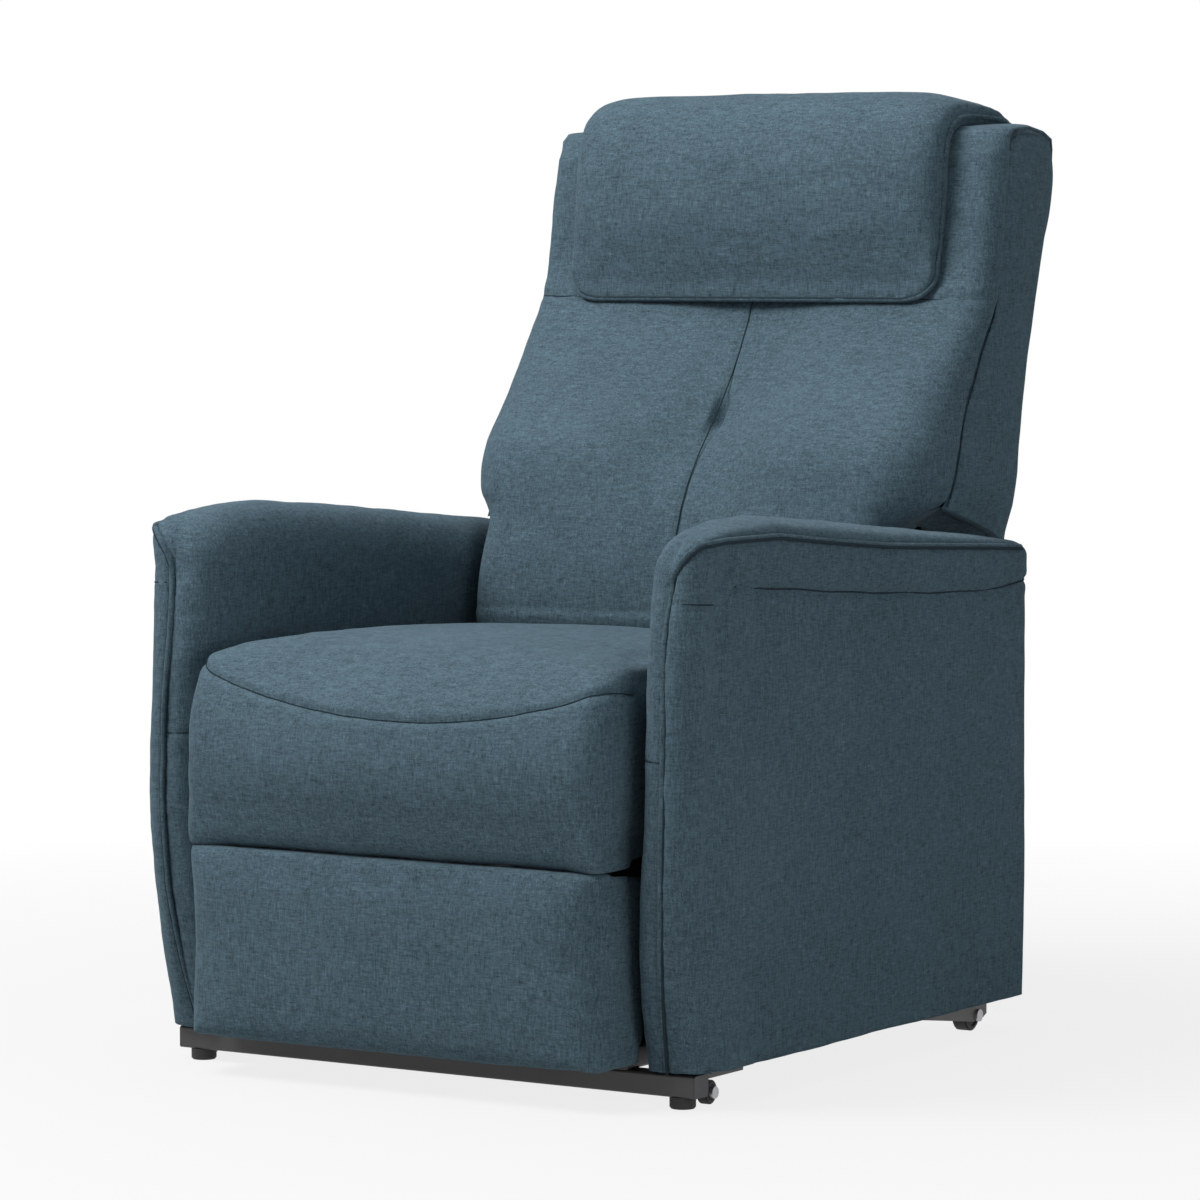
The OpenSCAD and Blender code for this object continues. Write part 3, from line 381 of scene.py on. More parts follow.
def woven(name, colour, contrast=1.0):
    """A heathered linen-look weave: yarns along the three directions, slubs, and soft larger shading."""
    m = Nodes(name)
    yarns = [m.noise(1.0, 2.0, 0.6, s) for s in ((110, 760, 760), (760, 110, 760), (760, 760, 100))]
    weave = m.math("ADD", m.math("ADD", yarns[0].outputs["Fac"], yarns[1].outputs["Fac"]), yarns[2].outputs["Fac"])
    weave = m.math("MULTIPLY", weave, 1 / 3)
    slubs = m.noise(1.0, 3.0, 0.6, (330, 330, 70))
    cross = m.noise(1.0, 3.0, 0.6, (70, 70, 330))
    cloud = m.noise(9.0, 3.0, 0.5)
    mix = m.math("ADD", m.math("MULTIPLY", weave, 0.62), m.math("MULTIPLY", slubs.outputs["Fac"], 0.19))
    mix = m.math("ADD", mix, m.math("MULTIPLY", cross.outputs["Fac"], 0.19))
    mix = m.math("ADD", mix, m.math("MULTIPLY", m.math("SUBTRACT", cloud.outputs["Fac"], 0.5), 0.06))
    spread = 0.078 / contrast
    stops = [
        (0.5 - 1.6 * spread, shade(colour, 0.36)), (0.5 - 0.7 * spread, shade(colour, 0.75)),
        (0.5, shade(colour, 1.0)), (0.5 + 0.8 * spread, shade(colour, 1.28)),
        (0.5 + 1.9 * spread, shade(colour, 2.0)),
    ]
    tone = m.ramp(mix, stops)
    m.link(tone, "Color", m.shader, "Base Color")
    height = m.math("ADD", weave, m.math("MULTIPLY", slubs.outputs["Fac"], 0.3))
    m.bump(height, 0.55, 0.0012)
    m.set(Roughness=0.93, Specular_IOR_Level=0.06, Sheen_Weight=0.12, Sheen_Roughness=0.45)
    m.shader.inputs["Sheen Tint"].default_value = (0.55, 0.68, 0.78, 1)
    return m.material


# Twisted-yarn look, for real sewing thread and for the dark cords that paint seam shadow.
def thread_and_shadow_cord(name, colour):
    m = Nodes(name)
    twist = m.noise(1.0, 2.0, 0.6, (1500, 1500, 700))
    tone = m.ramp(twist.outputs["Fac"], [(0.3, shade(colour, 0.6)), (0.7, shade(colour, 1.35))])
    m.link(tone, "Color", m.shader, "Base Color")
    m.bump(twist.outputs["Fac"], 0.4, 0.0004)
    m.set(Roughness=0.95, Specular_IOR_Level=0.05)
    return m.material


def coated(name, colour, roughness, grain, depth, metallic=0.0, wear=0.25):
    """Powder-coated or moulded surface: fine texture, uneven gloss, faint dust and wear."""
    m = Nodes(name)
    fine = m.noise(grain, 3.0, 0.6)
    broad = m.noise(14.0, 4.0, 0.6)
    both = m.math("ADD", m.math("MULTIPLY", fine.outputs["Fac"], 0.4), m.math("MULTIPLY", broad.outputs["Fac"], 0.6))
    tone = m.ramp(both, [(0.3, shade(colour, 1 - wear)), (0.55, colour), (0.75, shade(colour, 1 + wear))])
    m.link(tone, "Color", m.shader, "Base Color")
    gloss = m.ramp(broad.outputs["Fac"], [(0.3, (roughness * 0.85,) * 3), (0.7, (min(roughness * 1.2, 1),) * 3)])
    m.link(gloss, "Color", m.shader, "Roughness")
    m.bump(fine.outputs["Fac"], 0.3, depth)
    m.set(Metallic=metallic)
    return m.material


def plywood(name):
    m = Nodes(name)
    grain = m.noise(1.0, 5.0, 0.65, (3, 60, 260))
    broad = m.noise(5.0, 3.0, 0.5)
    both = m.math("ADD", m.math("MULTIPLY", grain.outputs["Fac"], 0.75), m.math("MULTIPLY", broad.outputs["Fac"], 0.25))
    tone = m.ramp(both, [(0.32, (0.30, 0.18, 0.085)), (0.5, (0.50, 0.34, 0.18)), (0.7, (0.63, 0.46, 0.27))])
    m.link(tone, "Color", m.shader, "Base Color")
    m.bump(grain.outputs["Fac"], 0.3, 0.0006)
    m.set(Roughness=0.72, Specular_IOR_Level=0.3)
    return m.material


CLOTH = (0.068, 0.107, 0.132)
fabric = woven("fabric_weave", CLOTH)
fabric_bias = woven("fabric_piping", shade(CLOTH, 0.86), 1.1)
# The same cloth much darker: painted shade for the board behind the footrest pad.
fabric_painted_shade = woven("fabric_underside_painted_shade", shade(CLOTH, 0.45))
# Dark cords sunk into the seams and laid beside the piping: painted shadow of the gaps there.
painted_seam_shadow = thread_and_shadow_cord("seam_shadow", shade(CLOTH, 0.36))
sewing = thread_and_shadow_cord("sewing_thread", shade(CLOTH, 0.62))
finishes = {
    "steel": coated("steel_powder_coat", (0.052, 0.050, 0.049), 0.42, 900, 0.0004, 0.0, 0.3),
    "zinc": coated("zinc_plate", (0.42, 0.43, 0.45), 0.34, 300, 0.0002, 0.9, 0.2),
    "rubber": coated("rubber_tread", (0.016, 0.016, 0.017), 0.72, 700, 0.0005, 0.0, 0.35),
    "plastic": coated("moulded_plastic", (0.024, 0.025, 0.027), 0.5, 1100, 0.0003, 0.0, 0.2),
    "button": coated("button_plastic", (0.33, 0.34, 0.36), 0.45, 900, 0.0002, 0.0, 0.15),
    "board": plywood("plywood"),
    "upholstery": fabric,
}
slots = {row["node"]: row["material_slot"] for row in frame["record"]["subparts"]}
for name, node in frame["nodes"].items():
    node.data.materials.clear()
    # The footrest's board is wrapped in the cloth at under half its tone, painted shade for its place behind the pad,
    # so that no bare edge shows when it is out
    node.data.materials.append(fabric_painted_shade if name == "footrest_board" else finishes[slots[name]])


# ---- Seat cushion ----------------------------

def extruded_pad(name, section, half_w, radii, crown, material, shrink=0.0, across=90):
    """A cushion whose side view is section (closed, anticlockwise seen from +X), rounded towards its sides.
    crown moves all points of the rings, given also each point's place along the section."""
    section = np.asarray(section, float)
    radii = np.asarray(radii, float)
    tangent = np.roll(section, -1, 0) - np.roll(section, 1, 0)
    normal = np.stack([tangent[:, 1], -tangent[:, 0]], 1)
    normal = unit(normal)
    middle = section.mean(0)
    base = section - normal * shrink
    rings = []
    turn = np.linspace(0, math.pi / 2, 9)
    for a in turn[::-1]:
        inset = radii * (1 - math.cos(a))
        rings.append((-(half_w - shrink - radii + radii * math.sin(a)), base - normal * inset[:, None]))
    straight = half_w - radii.max()
    for x in np.linspace(-straight, straight, across)[1:-1]:
        rings.append((np.full(len(section), x), base))
    for a in turn:
        inset = radii * (1 - math.cos(a))
        rings.append((half_w - shrink - radii + radii * math.sin(a), base - normal * inset[:, None]))
    side = rings[-1][1]
    for k in (0.8, 0.55, 0.3, 0.08):
        inner = middle + (side - middle) * k
        swell = 2.0 * (1 - k)
        rings.append((np.full(len(section), half_w - shrink + swell), inner))
        rings.insert(0, (np.full(len(section), -(half_w - shrink + swell)), inner))
    return make(name, *closed_mesh([crown(np.stack([x, yz[:, 0], yz[:, 1]], 1)) for x, yz in rings]), material)


def closed_smooth(points, n, rounds=3):
    """A rounded closed loop near a few corner points."""
    p = np.asarray(points, float)
    for _ in range(rounds):
        q = np.roll(p, -1, 0)
        p = np.stack([0.8 * p + 0.2 * q, 0.2 * p + 0.8 * q], 1).reshape(-1, p.shape[1])
    return resample(np.concatenate([p, p[:1]]), n + 1)[:-1]


# Half width of the cushion, and the heights under it: its deck, its front lip on the footrest pad, and that pad's top
SEAT_W, DECK_TOP, LIP_LOW, PAD_TOP = 268, 268.2, 252.4, 251.8
# Y of the deck's front edge; the cushion hangs down in front of it
DECK_FRONT = -402
seat_middle = closed_smooth([
    (-467, 255), (-458, 250.5), (-444, 249.5), (-404, 249.5), (-400, 267), (-180, 267), (52, 267),
    (52, 355), (52, 436), (36, 457), (-8, 467), (-60, 473), (-180, 479), (-300, 478.5), (-385, 469),
    (-440, 450), (-474, 425), (-491, 392), (-496.5, 362), (-496, 330), (-490, 298), (-480, 272), (-473, 260)
], 220)
seat_edge = closed_smooth([
    (-463, 254), (-454, 250.5), (-442, 249.5), (-404, 249.5), (-400, 267), (-180, 267), (52, 267),
    (52, 350), (52, 430), (42, 450), (-5, 457), (-50, 460), (-182, 464), (-318, 468), (-395, 467),
    (-442, 459), (-466, 440), (-481, 405), (-485, 370), (-485, 325), (-480, 290), (-473, 268), (-468, 258.5)
], 220)


def seat_radius(yz):
    nose = np.clip((-432 - yz[:, 0]) / 30, 0, 1) * np.clip((yz[:, 1] - 262) / 40, 0, 1)
    return 9 + 5 * np.clip((yz[:, 1] - 300) / 100, 0, 1) + 12 * nose


def seat_crown(p):
    u = np.clip(np.abs(p[:, 0]) / SEAT_W, 0, 1) ** 2.4
    shift = (seat_edge - seat_middle)[np.arange(len(p)) % len(seat_middle)]
    p = p.copy()
    p[:, 1:] += shift * u[:, None]
    return p


def seat_hold(before, after):
    """Keeps the cushion on its deck and on the footrest pad's top."""
    lip = np.where(before[:, 1] < DECK_FRONT, np.clip((before[:, 2] - 262) / 36, 0, 1), 1)
    after = before + (after - before) * lip[:, None]
    deck = (np.abs(before[:, 0]) < 240) & (before[:, 1] > DECK_FRONT + 1)
    after[:, 2] = np.maximum(after[:, 2], np.where(deck, DECK_TOP, LIP_LOW))
    return after


seat = extruded_pad("seat_cushion_cover", seat_middle, SEAT_W, seat_radius(seat_middle), seat_crown, fabric, 1.0)
# The cushion's sides hang beside the deck, and its front corners come down to the footrest pad
p, _ = points_of(seat)
side_drop = np.clip((np.abs(p[:, 0]) - 241) / 6, 0, 1) * np.clip((300 - p[:, 2]) / 30, 0, 1) * (p[:, 1] > DECK_FRONT)
p[:, 2] -= 12 * side_drop
lip = np.clip((np.abs(p[:, 0]) - 222) / 28, 0, 1) * np.clip((292 - p[:, 2]) / 30, 0, 1) * (p[:, 1] < DECK_FRONT)
p[:, 2] -= 9 * lip
move_points(seat, p)
puff(seat, 5.0, hold=seat_hold)
soften(seat, 0.9, 90, 11, 0.25)
SEAT_SEAM = smooth_path([
    (-265, -436, 450), (-252, -456, 445), (-208, -467, 433), (-161, -474, 422), (-85, -482, 409), (-7, -486, 403),
    (72, -485, 404), (136, -480, 411), (193, -474, 423), (232, -467, 431), (256, -452, 437), (266, -430, 438),
    (269, -405, 435)
], 160)
place(stitches("seat_topstitch", onto(seat, SEAT_SEAM + [0, 2.5, 6.5], -0.2), sewing), "chair")
seam("seat_seam", [seat], SEAT_SEAM, "chair", 2.2, 3.5, 0.5, 21, 36)
place(seat, "chair", ["seat_cushion"])


# ---- Footrest pad ----------------------------

PAD_W, PAD_LOW, PAD_HIGH, PAD_FRONT, PAD_BACK = 268, 39.5, 253.5, -483, -447


def pad_outline(inset, inset_z=None, n=320):
    """Front view of the pad drawn in by inset, as [x, z], anticlockwise from the middle of its lower edge."""
    inset_z = inset if inset_z is None else inset_z
    w, low, high = PAD_W - inset, PAD_LOW + inset_z, PAD_HIGH - inset_z
    r, t = max(9 - inset, 2), max(10 - inset, 2)
    points = [(0, low)]
    for a in np.radians(np.arange(-90, 1, 10)):
        points.append((w - r + r * math.cos(a), low + r + r * math.sin(a)))
    points.append((w - 1.5, (low + high) / 2))
    for a in np.radians(np.arange(0, 91, 15)):
        points.append((w - t + t * math.cos(a), high - t + t * math.sin(a)))
    right = np.array(points + [(0, high - 1)])
    left = right[::-1][1:-1] * [-1, 1]
    return resample(np.concatenate([right, left, right[:1]]), n + 1)[:-1]


def footrest_form():
    rings = []
    inner = pad_outline(30, 12)
    for k in np.linspace(0.04, 0.97, 22):
        core = np.stack([np.clip(inner[:, 0], -150, 150), np.full(len(inner), 145)], 1)
        p = core + (inner - core) * k
        bulge = 5.0 * (1 - k**2.4)
        rings.append(np.stack([p[:, 0], np.full(len(p), PAD_FRONT + 4.5) - bulge, p[:, 1]], 1))
    outer = pad_outline(0.001)
    at_side = np.clip((np.abs(outer[:, 0]) - 205) / 60, 0, 1)
    depth = 11 + 21 * at_side**2 * (3 - 2 * at_side)
    for a in np.linspace(0, math.pi / 2, 11):
        p = pad_outline(30 * (1 - math.sin(a)) + 0.001, 12 * (1 - math.sin(a)) + 0.001)
        rings.append(np.stack([p[:, 0], PAD_FRONT + 4.5 + depth * (1 - math.cos(a)), p[:, 1]], 1))
    p = outer
    side = np.clip((np.abs(p[:, 0]) - 258) / 6, 0, 1) * np.clip((p[:, 1] - 39.6) / 2.4, 0, 1)
    side *= np.clip((249 - p[:, 1]) / 6, 0, 1)
    back = PAD_BACK + side * (58 + 9 * np.clip((p[:, 1] - 62) / 4, 0, 1))
    start = rings[-1][:, 1]
    for t in np.linspace(0, 1, 12)[1:]:
        drawn = p - np.sign(p) * [1.5, 0] * (t * side)[:, None]
        rings.append(np.stack([drawn[:, 0], start + (back - start) * t, drawn[:, 1]], 1))
    inner = pad_outline(21)
    for t in (0, 1):
        x = drawn[:, 0] + (inner[:, 0] - drawn[:, 0]) * np.where(side > 0, 1, t)
        z = drawn[:, 1] + (inner[:, 1] - drawn[:, 1]) * np.where(side > 0, 0.45, t)
        y = back + (PAD_BACK - 0.3 - back) * t
        rings.append(np.stack([x, y, z], 1))
    return closed_mesh(rings)


def pad_hold(before, after):
    """Keeps the pad off the seat cushion above it and off the board behind it."""
    top = np.clip((243 - before[:, 2]) / 30, 0, 1)
    after = before + (after - before) * top[:, None]
    after[:, 2] = np.minimum(after[:, 2], PAD_TOP)
    rear = before[:, 1] > -450
    after[:, 1] = np.where(rear, np.minimum(after[:, 1], np.maximum(before[:, 1], PAD_BACK)), after[:, 1])
    return after


pad = make("footrest_pad_cover", *footrest_form(), fabric)
puff(pad, 4.0, voxel=5.0, hold=pad_hold)
soften(pad, 0.8, 80, 31, 0.2)
place(pad, "footrest", ["footrest_pad"])


# ---- Arms ------------------------------------

ARM_IN, ARM_OUT, ARM_REAR, ARM_LOW = 282.0, 353.0, 325.0, 40.0


def arm_face(z):
    """Y of the arm's front at height z."""
    return curve([40, 85, 130, 190, 270, 339, 435, 500, 580],
                 [-396, -410, -421, -431, -436, -436, -431, -425, -411], z, 22)


def piping_x(z):
    return curve([41, 122, 200, 339, 400, 460, 500, 530, 552], [303, 312, 320, 325, 324, 321, 320, 322, 326], z, 12)


def arm_crown(y):
    return curve([-438, -428, -402, -365, -323, -265, -130, 11, 200, 292, 312, 325],
                 [577, 587, 600, 610, 616, 618, 608, 595, 578, 568, 562, 548], y, 8)


def band_seam(y):
    line = curve([-450, -335, -271, -193, -132, -45, 74, 165, 260, 292, 325],
                 [555, 547, 541, 535, 531, 525, 517, 514.5, 515, 518, 522], y, 14)
    return line + 0.7 * np.sin(y / 47.0) + 0.5 * np.sin(y / 19.0)


def outer_edge(x, y):
    """Height of the piping between the arm's outer panel and its top."""
    side = curve([-417, -375, -262, -157, -27, 285, 305, 325], [593, 597, 597, 587, 576, 560, 553, 540], y, 8)
    front = curve([324, 330, 338, 348, 353], [553, 567, 580, 592, 597], x, 2)
    return np.where(y < -390, np.minimum(front, side), side)


def arc(cx, cy, rx, ry, a0, a1, n=14):
    a = np.radians(np.linspace(a0, a1, n))
    return np.stack([cx + rx * np.cos(a), cy + ry * np.sin(a)], 1)


def arm_outer_plan(z, n):
    """Plan of the outer panel at height z: from the front piping round the outside to the rear."""
    f, x0 = float(arm_face(z)), float(piping_x(z))
    r = float(curve([420, 550], [31, 22], z))
    points = np.concatenate([
        [(x0, f + 1.0), (max(x0 + 1, ARM_OUT - r), f)], arc(ARM_OUT - r, f + r, r, r, -86, 0), [(ARM_OUT, 0)],
        arc(ARM_OUT - 25, ARM_REAR - 25, 25, 25, 0, 90), [(318, ARM_REAR)]
    ])
    return resample(points, n)


def arm_inner_plan(z, n):
    """Plan of the wrap at height z: from the front piping round the inside to the rear."""
    f, x0 = float(arm_face(z)) + 3.5, float(piping_x(z))
    f -= float(curve([40, 200], [5, 0], z))
    bulge = 3 * max(z - 380, 0) ** 2 / 180**2
    left = ARM_IN - bulge
    wide, deep = curve([40, 130, 200, 300], [7, 11, 18, 30], z), curve([40, 130, 200, 300], [7, 12, 24, 50], z)
    corner = arc(left + wide, f + deep, wide, deep, -180, -90, 24)[::-1]
    corner = corner[corner[:, 0] < x0 - 2]
    points = np.concatenate([
        [(x0, f - 2.5)], corner, [(left, 0)],
        arc(left + 15, ARM_REAR - 15, 15, 15, 180, 90), [(318, ARM_REAR)]
    ])
    return resample(points, n)


def arm_forms():
    """Points and faces of the outer panel, of the wrap with the top, and the piping's path."""
    rows = np.linspace(0, 1, 132)
    n_out, n_in = 216, 226
    outer, inner = [], []
    for t in rows:
        z0 = ARM_LOW + t * 515
        plan = arm_outer_plan(z0, n_out)
        top = outer_edge(plan[:, 0], plan[:, 1])
        z = ARM_LOW + t * (top - ARM_LOW)
        tangent = np.gradient(plan, axis=0)
        normal = np.stack([tangent[:, 1], -tangent[:, 0]], 1)
        normal = unit(normal)
        seam = band_seam(plan[:, 1])
        height = np.clip((z - seam) / np.maximum(top - seam, 1), 0, 1)
        roll = 7.0 * np.sin(np.pi * np.clip(height, 0, 1) ** 0.75 * 0.56) * (z > seam)
        roll *= np.clip((plan[:, 1] + 432) / 42, 0, 1) * (0.2 + 0.8 * np.clip((322 - plan[:, 1]) / 50, 0, 1))
        belly = 1.5 * np.sin(math.pi * np.clip((z - 40) / 500, 0, 1)) * (z < seam)
        p = plan + normal * (roll + belly)[:, None]
        outer.append(np.stack([p[:, 0], p[:, 1], z], 1))
        plan = arm_inner_plan(z0, n_in)
        front = np.clip((-plan[:, 1] - 330) / 60, 0, 1)
        top = (arm_crown(plan[:, 1]) - 57) * (1 - front) + 552 * front
        z = ARM_LOW + t * (top - ARM_LOW)
        inner.append(np.stack([plan[:, 0], plan[:, 1], z], 1))
    ring = np.concatenate([outer[-1], inner[-1][::-1][1:-1]])
    spine = np.stack([np.full(len(ring), 320.0), np.clip(ring[:, 1], -386, 300)], 1)
    spine[:, 0] += 8 * np.clip((-ring[:, 1] - 330) / 60, 0, 1)
    cap = []
    for k in np.cos(np.linspace(0.0, math.pi / 2, 30))[1:-1]:
        p = spine + (ring[:, :2] - spine) * k
        rise = (1 - k**2.1) ** (1 / 2.1)
        z = ring[:, 2] + (arm_crown(p[:, 1]) - ring[:, 2]) * rise
        cap.append(np.stack([p[:, 0], p[:, 1], z], 1))
    cap.append(np.stack([spine[:, 0], spine[:, 1], arm_crown(spine[:, 1])], 1))
    low = []
    foot = np.concatenate([outer[0], inner[0][::-1][1:-1]])
    for k in (1, 0.96, 0.5, 0):
        p = spine + (foot[:, :2] - spine) * k
        low.append(np.stack([p[:, 0], p[:, 1], np.full(len(p), ARM_LOW - (0 if k == 1 else 0.4))], 1))
    front = np.array([row[0] for row in outer])
    side = outer[-1]
    path = np.concatenate([front, side[1:-18]])
    return outer, inner, [ring] + cap, low, path


def join_grids(*parts):
    points, faces, base = [], [], 0
    for p, f in parts:
        points.append(p)
        faces.append(np.asarray(f) + base)
        base += len(p)
    return np.concatenate(points), np.concatenate(faces)


outer_rows, inner_rows, cap_rows, low_rows, arm_path = arm_forms()
arm_path = resample(arm_path, 420)


def arm(side):
    word = "left" if side > 0 else "right"

    def put(p):
        return np.asarray(p, float) * [side, 1, 1]

    panel_points, panel_faces = join_grids(grid_mesh(outer_rows), grid_mesh(low_rows, wrap=True))
    panel = make("arm_outer_panel_" + word, put(panel_points), panel_faces, fabric, weld=0.2)
    wrap_points, wrap_faces = join_grids(grid_mesh(inner_rows), grid_mesh(cap_rows, wrap=True))
    wrap = make("arm_wrap_" + word, put(wrap_points), wrap_faces, fabric, weld=0.2)

    # Seam under the outer roll, with its gathered front end
    y = np.linspace(-338, 324, 150)
    line = np.stack([np.full(len(y), ARM_OUT), y, band_seam(y)], 1)
    seam("arm_roll_seam_" + word, [panel], put(line), "chair", 2.4, 3.4, 0.6, 41, 60)
    for k, end in enumerate([((352, -338, 547), (351, -351, 542), (350, -358, 534)),
                             ((352, -338, 548), (351, -350, 557), (350, -360, 567))]):
        press(panel, onto(panel, put(smooth_path(end, 16))), 1.6, 3.0, 0.3, 42 + k)
    # Soft fold beside the front edge, and the gathers at its foot
    fold = put(smooth_path([(352, -356, 588), (353, -371, 537), (353, -377, 455), (353, -384, 373), (353, -391, 291),
                            (352, -398, 200), (350, -390, 110), (348, -374, 50)], 60))
    press(panel, onto(panel, fold), 3.4, 15.0, 0.35, 43, 0.4, 70)
    for depth, pucker, seed, gather in ((1.5, 0.3, 48, [(349, -352, 46), (351, -346, 66), (353, -336, 84)]),
                                        (1.5, 0.3, 49, [(350, -318, 47), (352, -315, 62), (353, -308, 76)]),
                                        (1.8, 0.4, 44, [(347, -380, 44), (350, -377, 58), (352, -366, 74)])):
        press(panel, onto(panel, put(smooth_path(gather, 12))), depth, 5, pucker, seed)
    # Short joins across the front strips
    join = resample([(325, -427, 534), (338, -422, 533), (347, -411, 532), (353, -382, 530.5)], 16)
    seam("arm_outer_join_" + word, [panel], put(join), "chair", 0.9, 2.2, 0.1, 45, lift=0.4)
    join = resample([(284, -410, 371), (289, -424, 370), (298, -432, 369), (320, -436, 368)], 20)
    seam("arm_inner_join_" + word, [wrap], put(join), "chair", 0.9, 2.2, 0.1, 46, lift=0.3)
    # Both cloths draw in to the piping, with small gathers round the top corner
    rim = put(arm_path)
    press(panel, rim, 2.2, 4.2, 0.6, 47, 0.5, 21)
    press(wrap, rim, 2.2, 4.2, 0.6, 48, 0.5, 23)
    corner = put(arm_path[(arm_path[:, 2] > 520) & (arm_path[:, 1] < -350)])
    press(wrap, corner, 0.4, 4.0, 1.3, 49, 0.2, 8.5)
    soften(panel, 0.9, 110, 51, 0.3)
    soften(wrap, 0.9, 100, 52, 0.3)
    if side < 0:
        p, _ = points_of(panel)
        reach = np.maximum(np.abs(p[:, 1] + 165) - 26, np.abs(p[:, 2] - 410) - 71)
        well = (p[:, 0] < -330) & (reach < 3)
        p[well, 0] = np.maximum(p[well, 0], -337.6 - 15 * np.clip(reach[well] / 3, 0, 1))
        move_points(panel, p)
    place(panel, "chair", ["arm_side_" + word])
    place(wrap, "chair", ["arm_pad_" + word])
    place(tube("arm_piping_" + word, rim, 3.3, fabric_bias, wobble=0.04), "chair")
    # A thin dark cord under the piping: painted shadow along it.
    piping_shadow_line = rim + [side * 2.4, -0.3, -2.2]
    place(tube("arm_piping_shadow_" + word, piping_shadow_line, 1.9, painted_seam_shadow, sides=8), "chair")


for side in (1, -1):
    arm(side)


# ---- Back ------------------------------------

# Rows of the front cover: height, half width, y in the middle, y of the lobes, y of the side seam
BACK_ROWS = np.array([
    (434, 256, 112, 100, 122), (442, 262, 98, 85, 104), (470, 263, 93, 79, 100), (520, 263, 101, 84, 113),
    (570, 263, 113, 99, 134), (584, 266, 118, 105, 146), (594, 280, 121, 108, 172), (604, 299, 125, 111, 198),
    (614, 307, 130, 114, 209), (640, 311, 145, 119, 217), (673, 311, 172, 125, 228), (703, 308, 200, 157, 240),
    (730, 307, 222, 184, 253), (760, 307, 244, 212, 270), (798, 307, 266, 246, 291), (838, 307, 287, 282, 319),
    (870, 307, 300, 299, 326), (911, 307, 306, 306, 332), (956, 307, 310, 310, 337), (990, 307, 315, 315, 347),
    (1008, 307, 320, 320, 353)
])
# Over the top: lobe [y, z] and side seam [y, z]
BACK_TOP = [
    ((323, 1023), (352, 1016)), ((328, 1036), (354, 1028)), ((345, 1043), (363, 1037)), ((400, 1045), (400, 1040)),
    ((440, 1041), (435, 1034)), ((465, 1034), (454, 1026)), ((478, 1021), (465, 1014))
]


def back_row(z):
    """Half width, y in the middle, y of the lobes and y of the side seam at height z."""
    soft = (8, 30, 30, 10) if z > 480 else (0, 0, 0, 0)
    return [float(curve(BACK_ROWS[:, 0], BACK_ROWS[:, k + 1], z, soft[k])) for k in range(4)]


def back_profile(half_w, mid, lobe, rim, n=75):
    """Right half of a row, from the middle to the side seam, as [x, share towards the front, y]."""
    depth = rim - lobe
    round_x = min(max(depth * 0.95, 26), 78)
    a = np.linspace(0, math.pi / 2, 26)
    e = 2 / 2.25
    corner = np.stack([
        half_w - round_x + round_x * np.sin(a) ** e, rim - depth * np.cos(a) ** e
    ], 1)
    flat = np.linspace(0, half_w - round_x, 60)[:-1]
    front = np.stack([flat, np.full(len(flat), lobe)], 1)
    p = np.concatenate([front, corner])
    u = p[:, 0] / half_w
    valley = np.exp(-((u / 0.27) ** 2))
    swell = 3.5 * np.sin(math.pi * np.clip(u, 0, 1)) ** 2 * min(depth / 60, 1)
    p[:, 1] += (mid - lobe) * valley - swell * (1 - valley)
    return resample(p, n)


# Half width of the back's upper part, and the radius of its upright rear corners
BACK_W, BACK_CORNER = 307, 38


def back_cover_form():
    """Rings of the closed front cover from its lower edge up, with its rear laid on the boards, and over the top."""
    rings = []
    for z in np.concatenate([[432], np.linspace(434, 1008, 150)]):
        half_w, mid, lobe, rim = back_row(z)
        row = back_profile(half_w, mid, lobe, rim)
        rear = float(curve([432, 470, 520, 570, 614, 673, 760, 838, 911, 1008],
                           [171, 183, 195, 208, 222, 241, 283, 332, 345, 366], z))
        tuck = 9 * min(max((z - 598) / 16, 0), 1)
        turn = np.array([(half_w - 0.2 * tuck, rim + 2), (half_w - tuck, rim + 7),
                         (half_w - tuck, max(rim + 9, min(rear, rim + 60)) - 1.5), (half_w - 20, rear - 0.5),
                         (half_w * 0.5, rear - 0.5), (0, rear - 0.5)])
        right = np.concatenate([row, turn])
        ring = np.concatenate([right, right[::-1][1:-1] * [-1, 1]])
        rings.append(np.stack([ring[:, 0], ring[:, 1], np.full(len(ring), z)], 1))
    count = len(rings[0])
    for lobe, rim in BACK_TOP:
        base = rings[150]
        u = np.clip(np.abs(base[:, 0]) / BACK_W, 0, 1)
        share = (1 - u**12) ** 0.5
        y = rim[0] + (lobe[0] - rim[0]) * share
        z = rim[1] + (lobe[1] - rim[1]) * share
        k = np.arange(count)
        inside = np.minimum(k, count - k) >= 76
        y = np.where(inside, np.maximum(y, 366) + 1, y)
        z = np.where(inside, 1002.0, z)
        # The rear corners are rounded as those of the side panels are
        limit = BACK_W - 1 - BACK_CORNER + np.sqrt(np.maximum(BACK_CORNER**2 - np.maximum(y - 449, 0) ** 2, 0))
        rings.append(np.stack([np.where(inside, base[:, 0], np.clip(base[:, 0], -limit, limit)), y, z], 1))
    return rings


back = make("back_front_cover", *closed_mesh(back_cover_form()), fabric)


def back_front_y(x, z):
    half_w, mid, lobe, rim = back_row(z)
    row = back_profile(half_w, mid, lobe, rim)
    return float(np.interp(abs(x), row[:, 0], row[:, 1]))


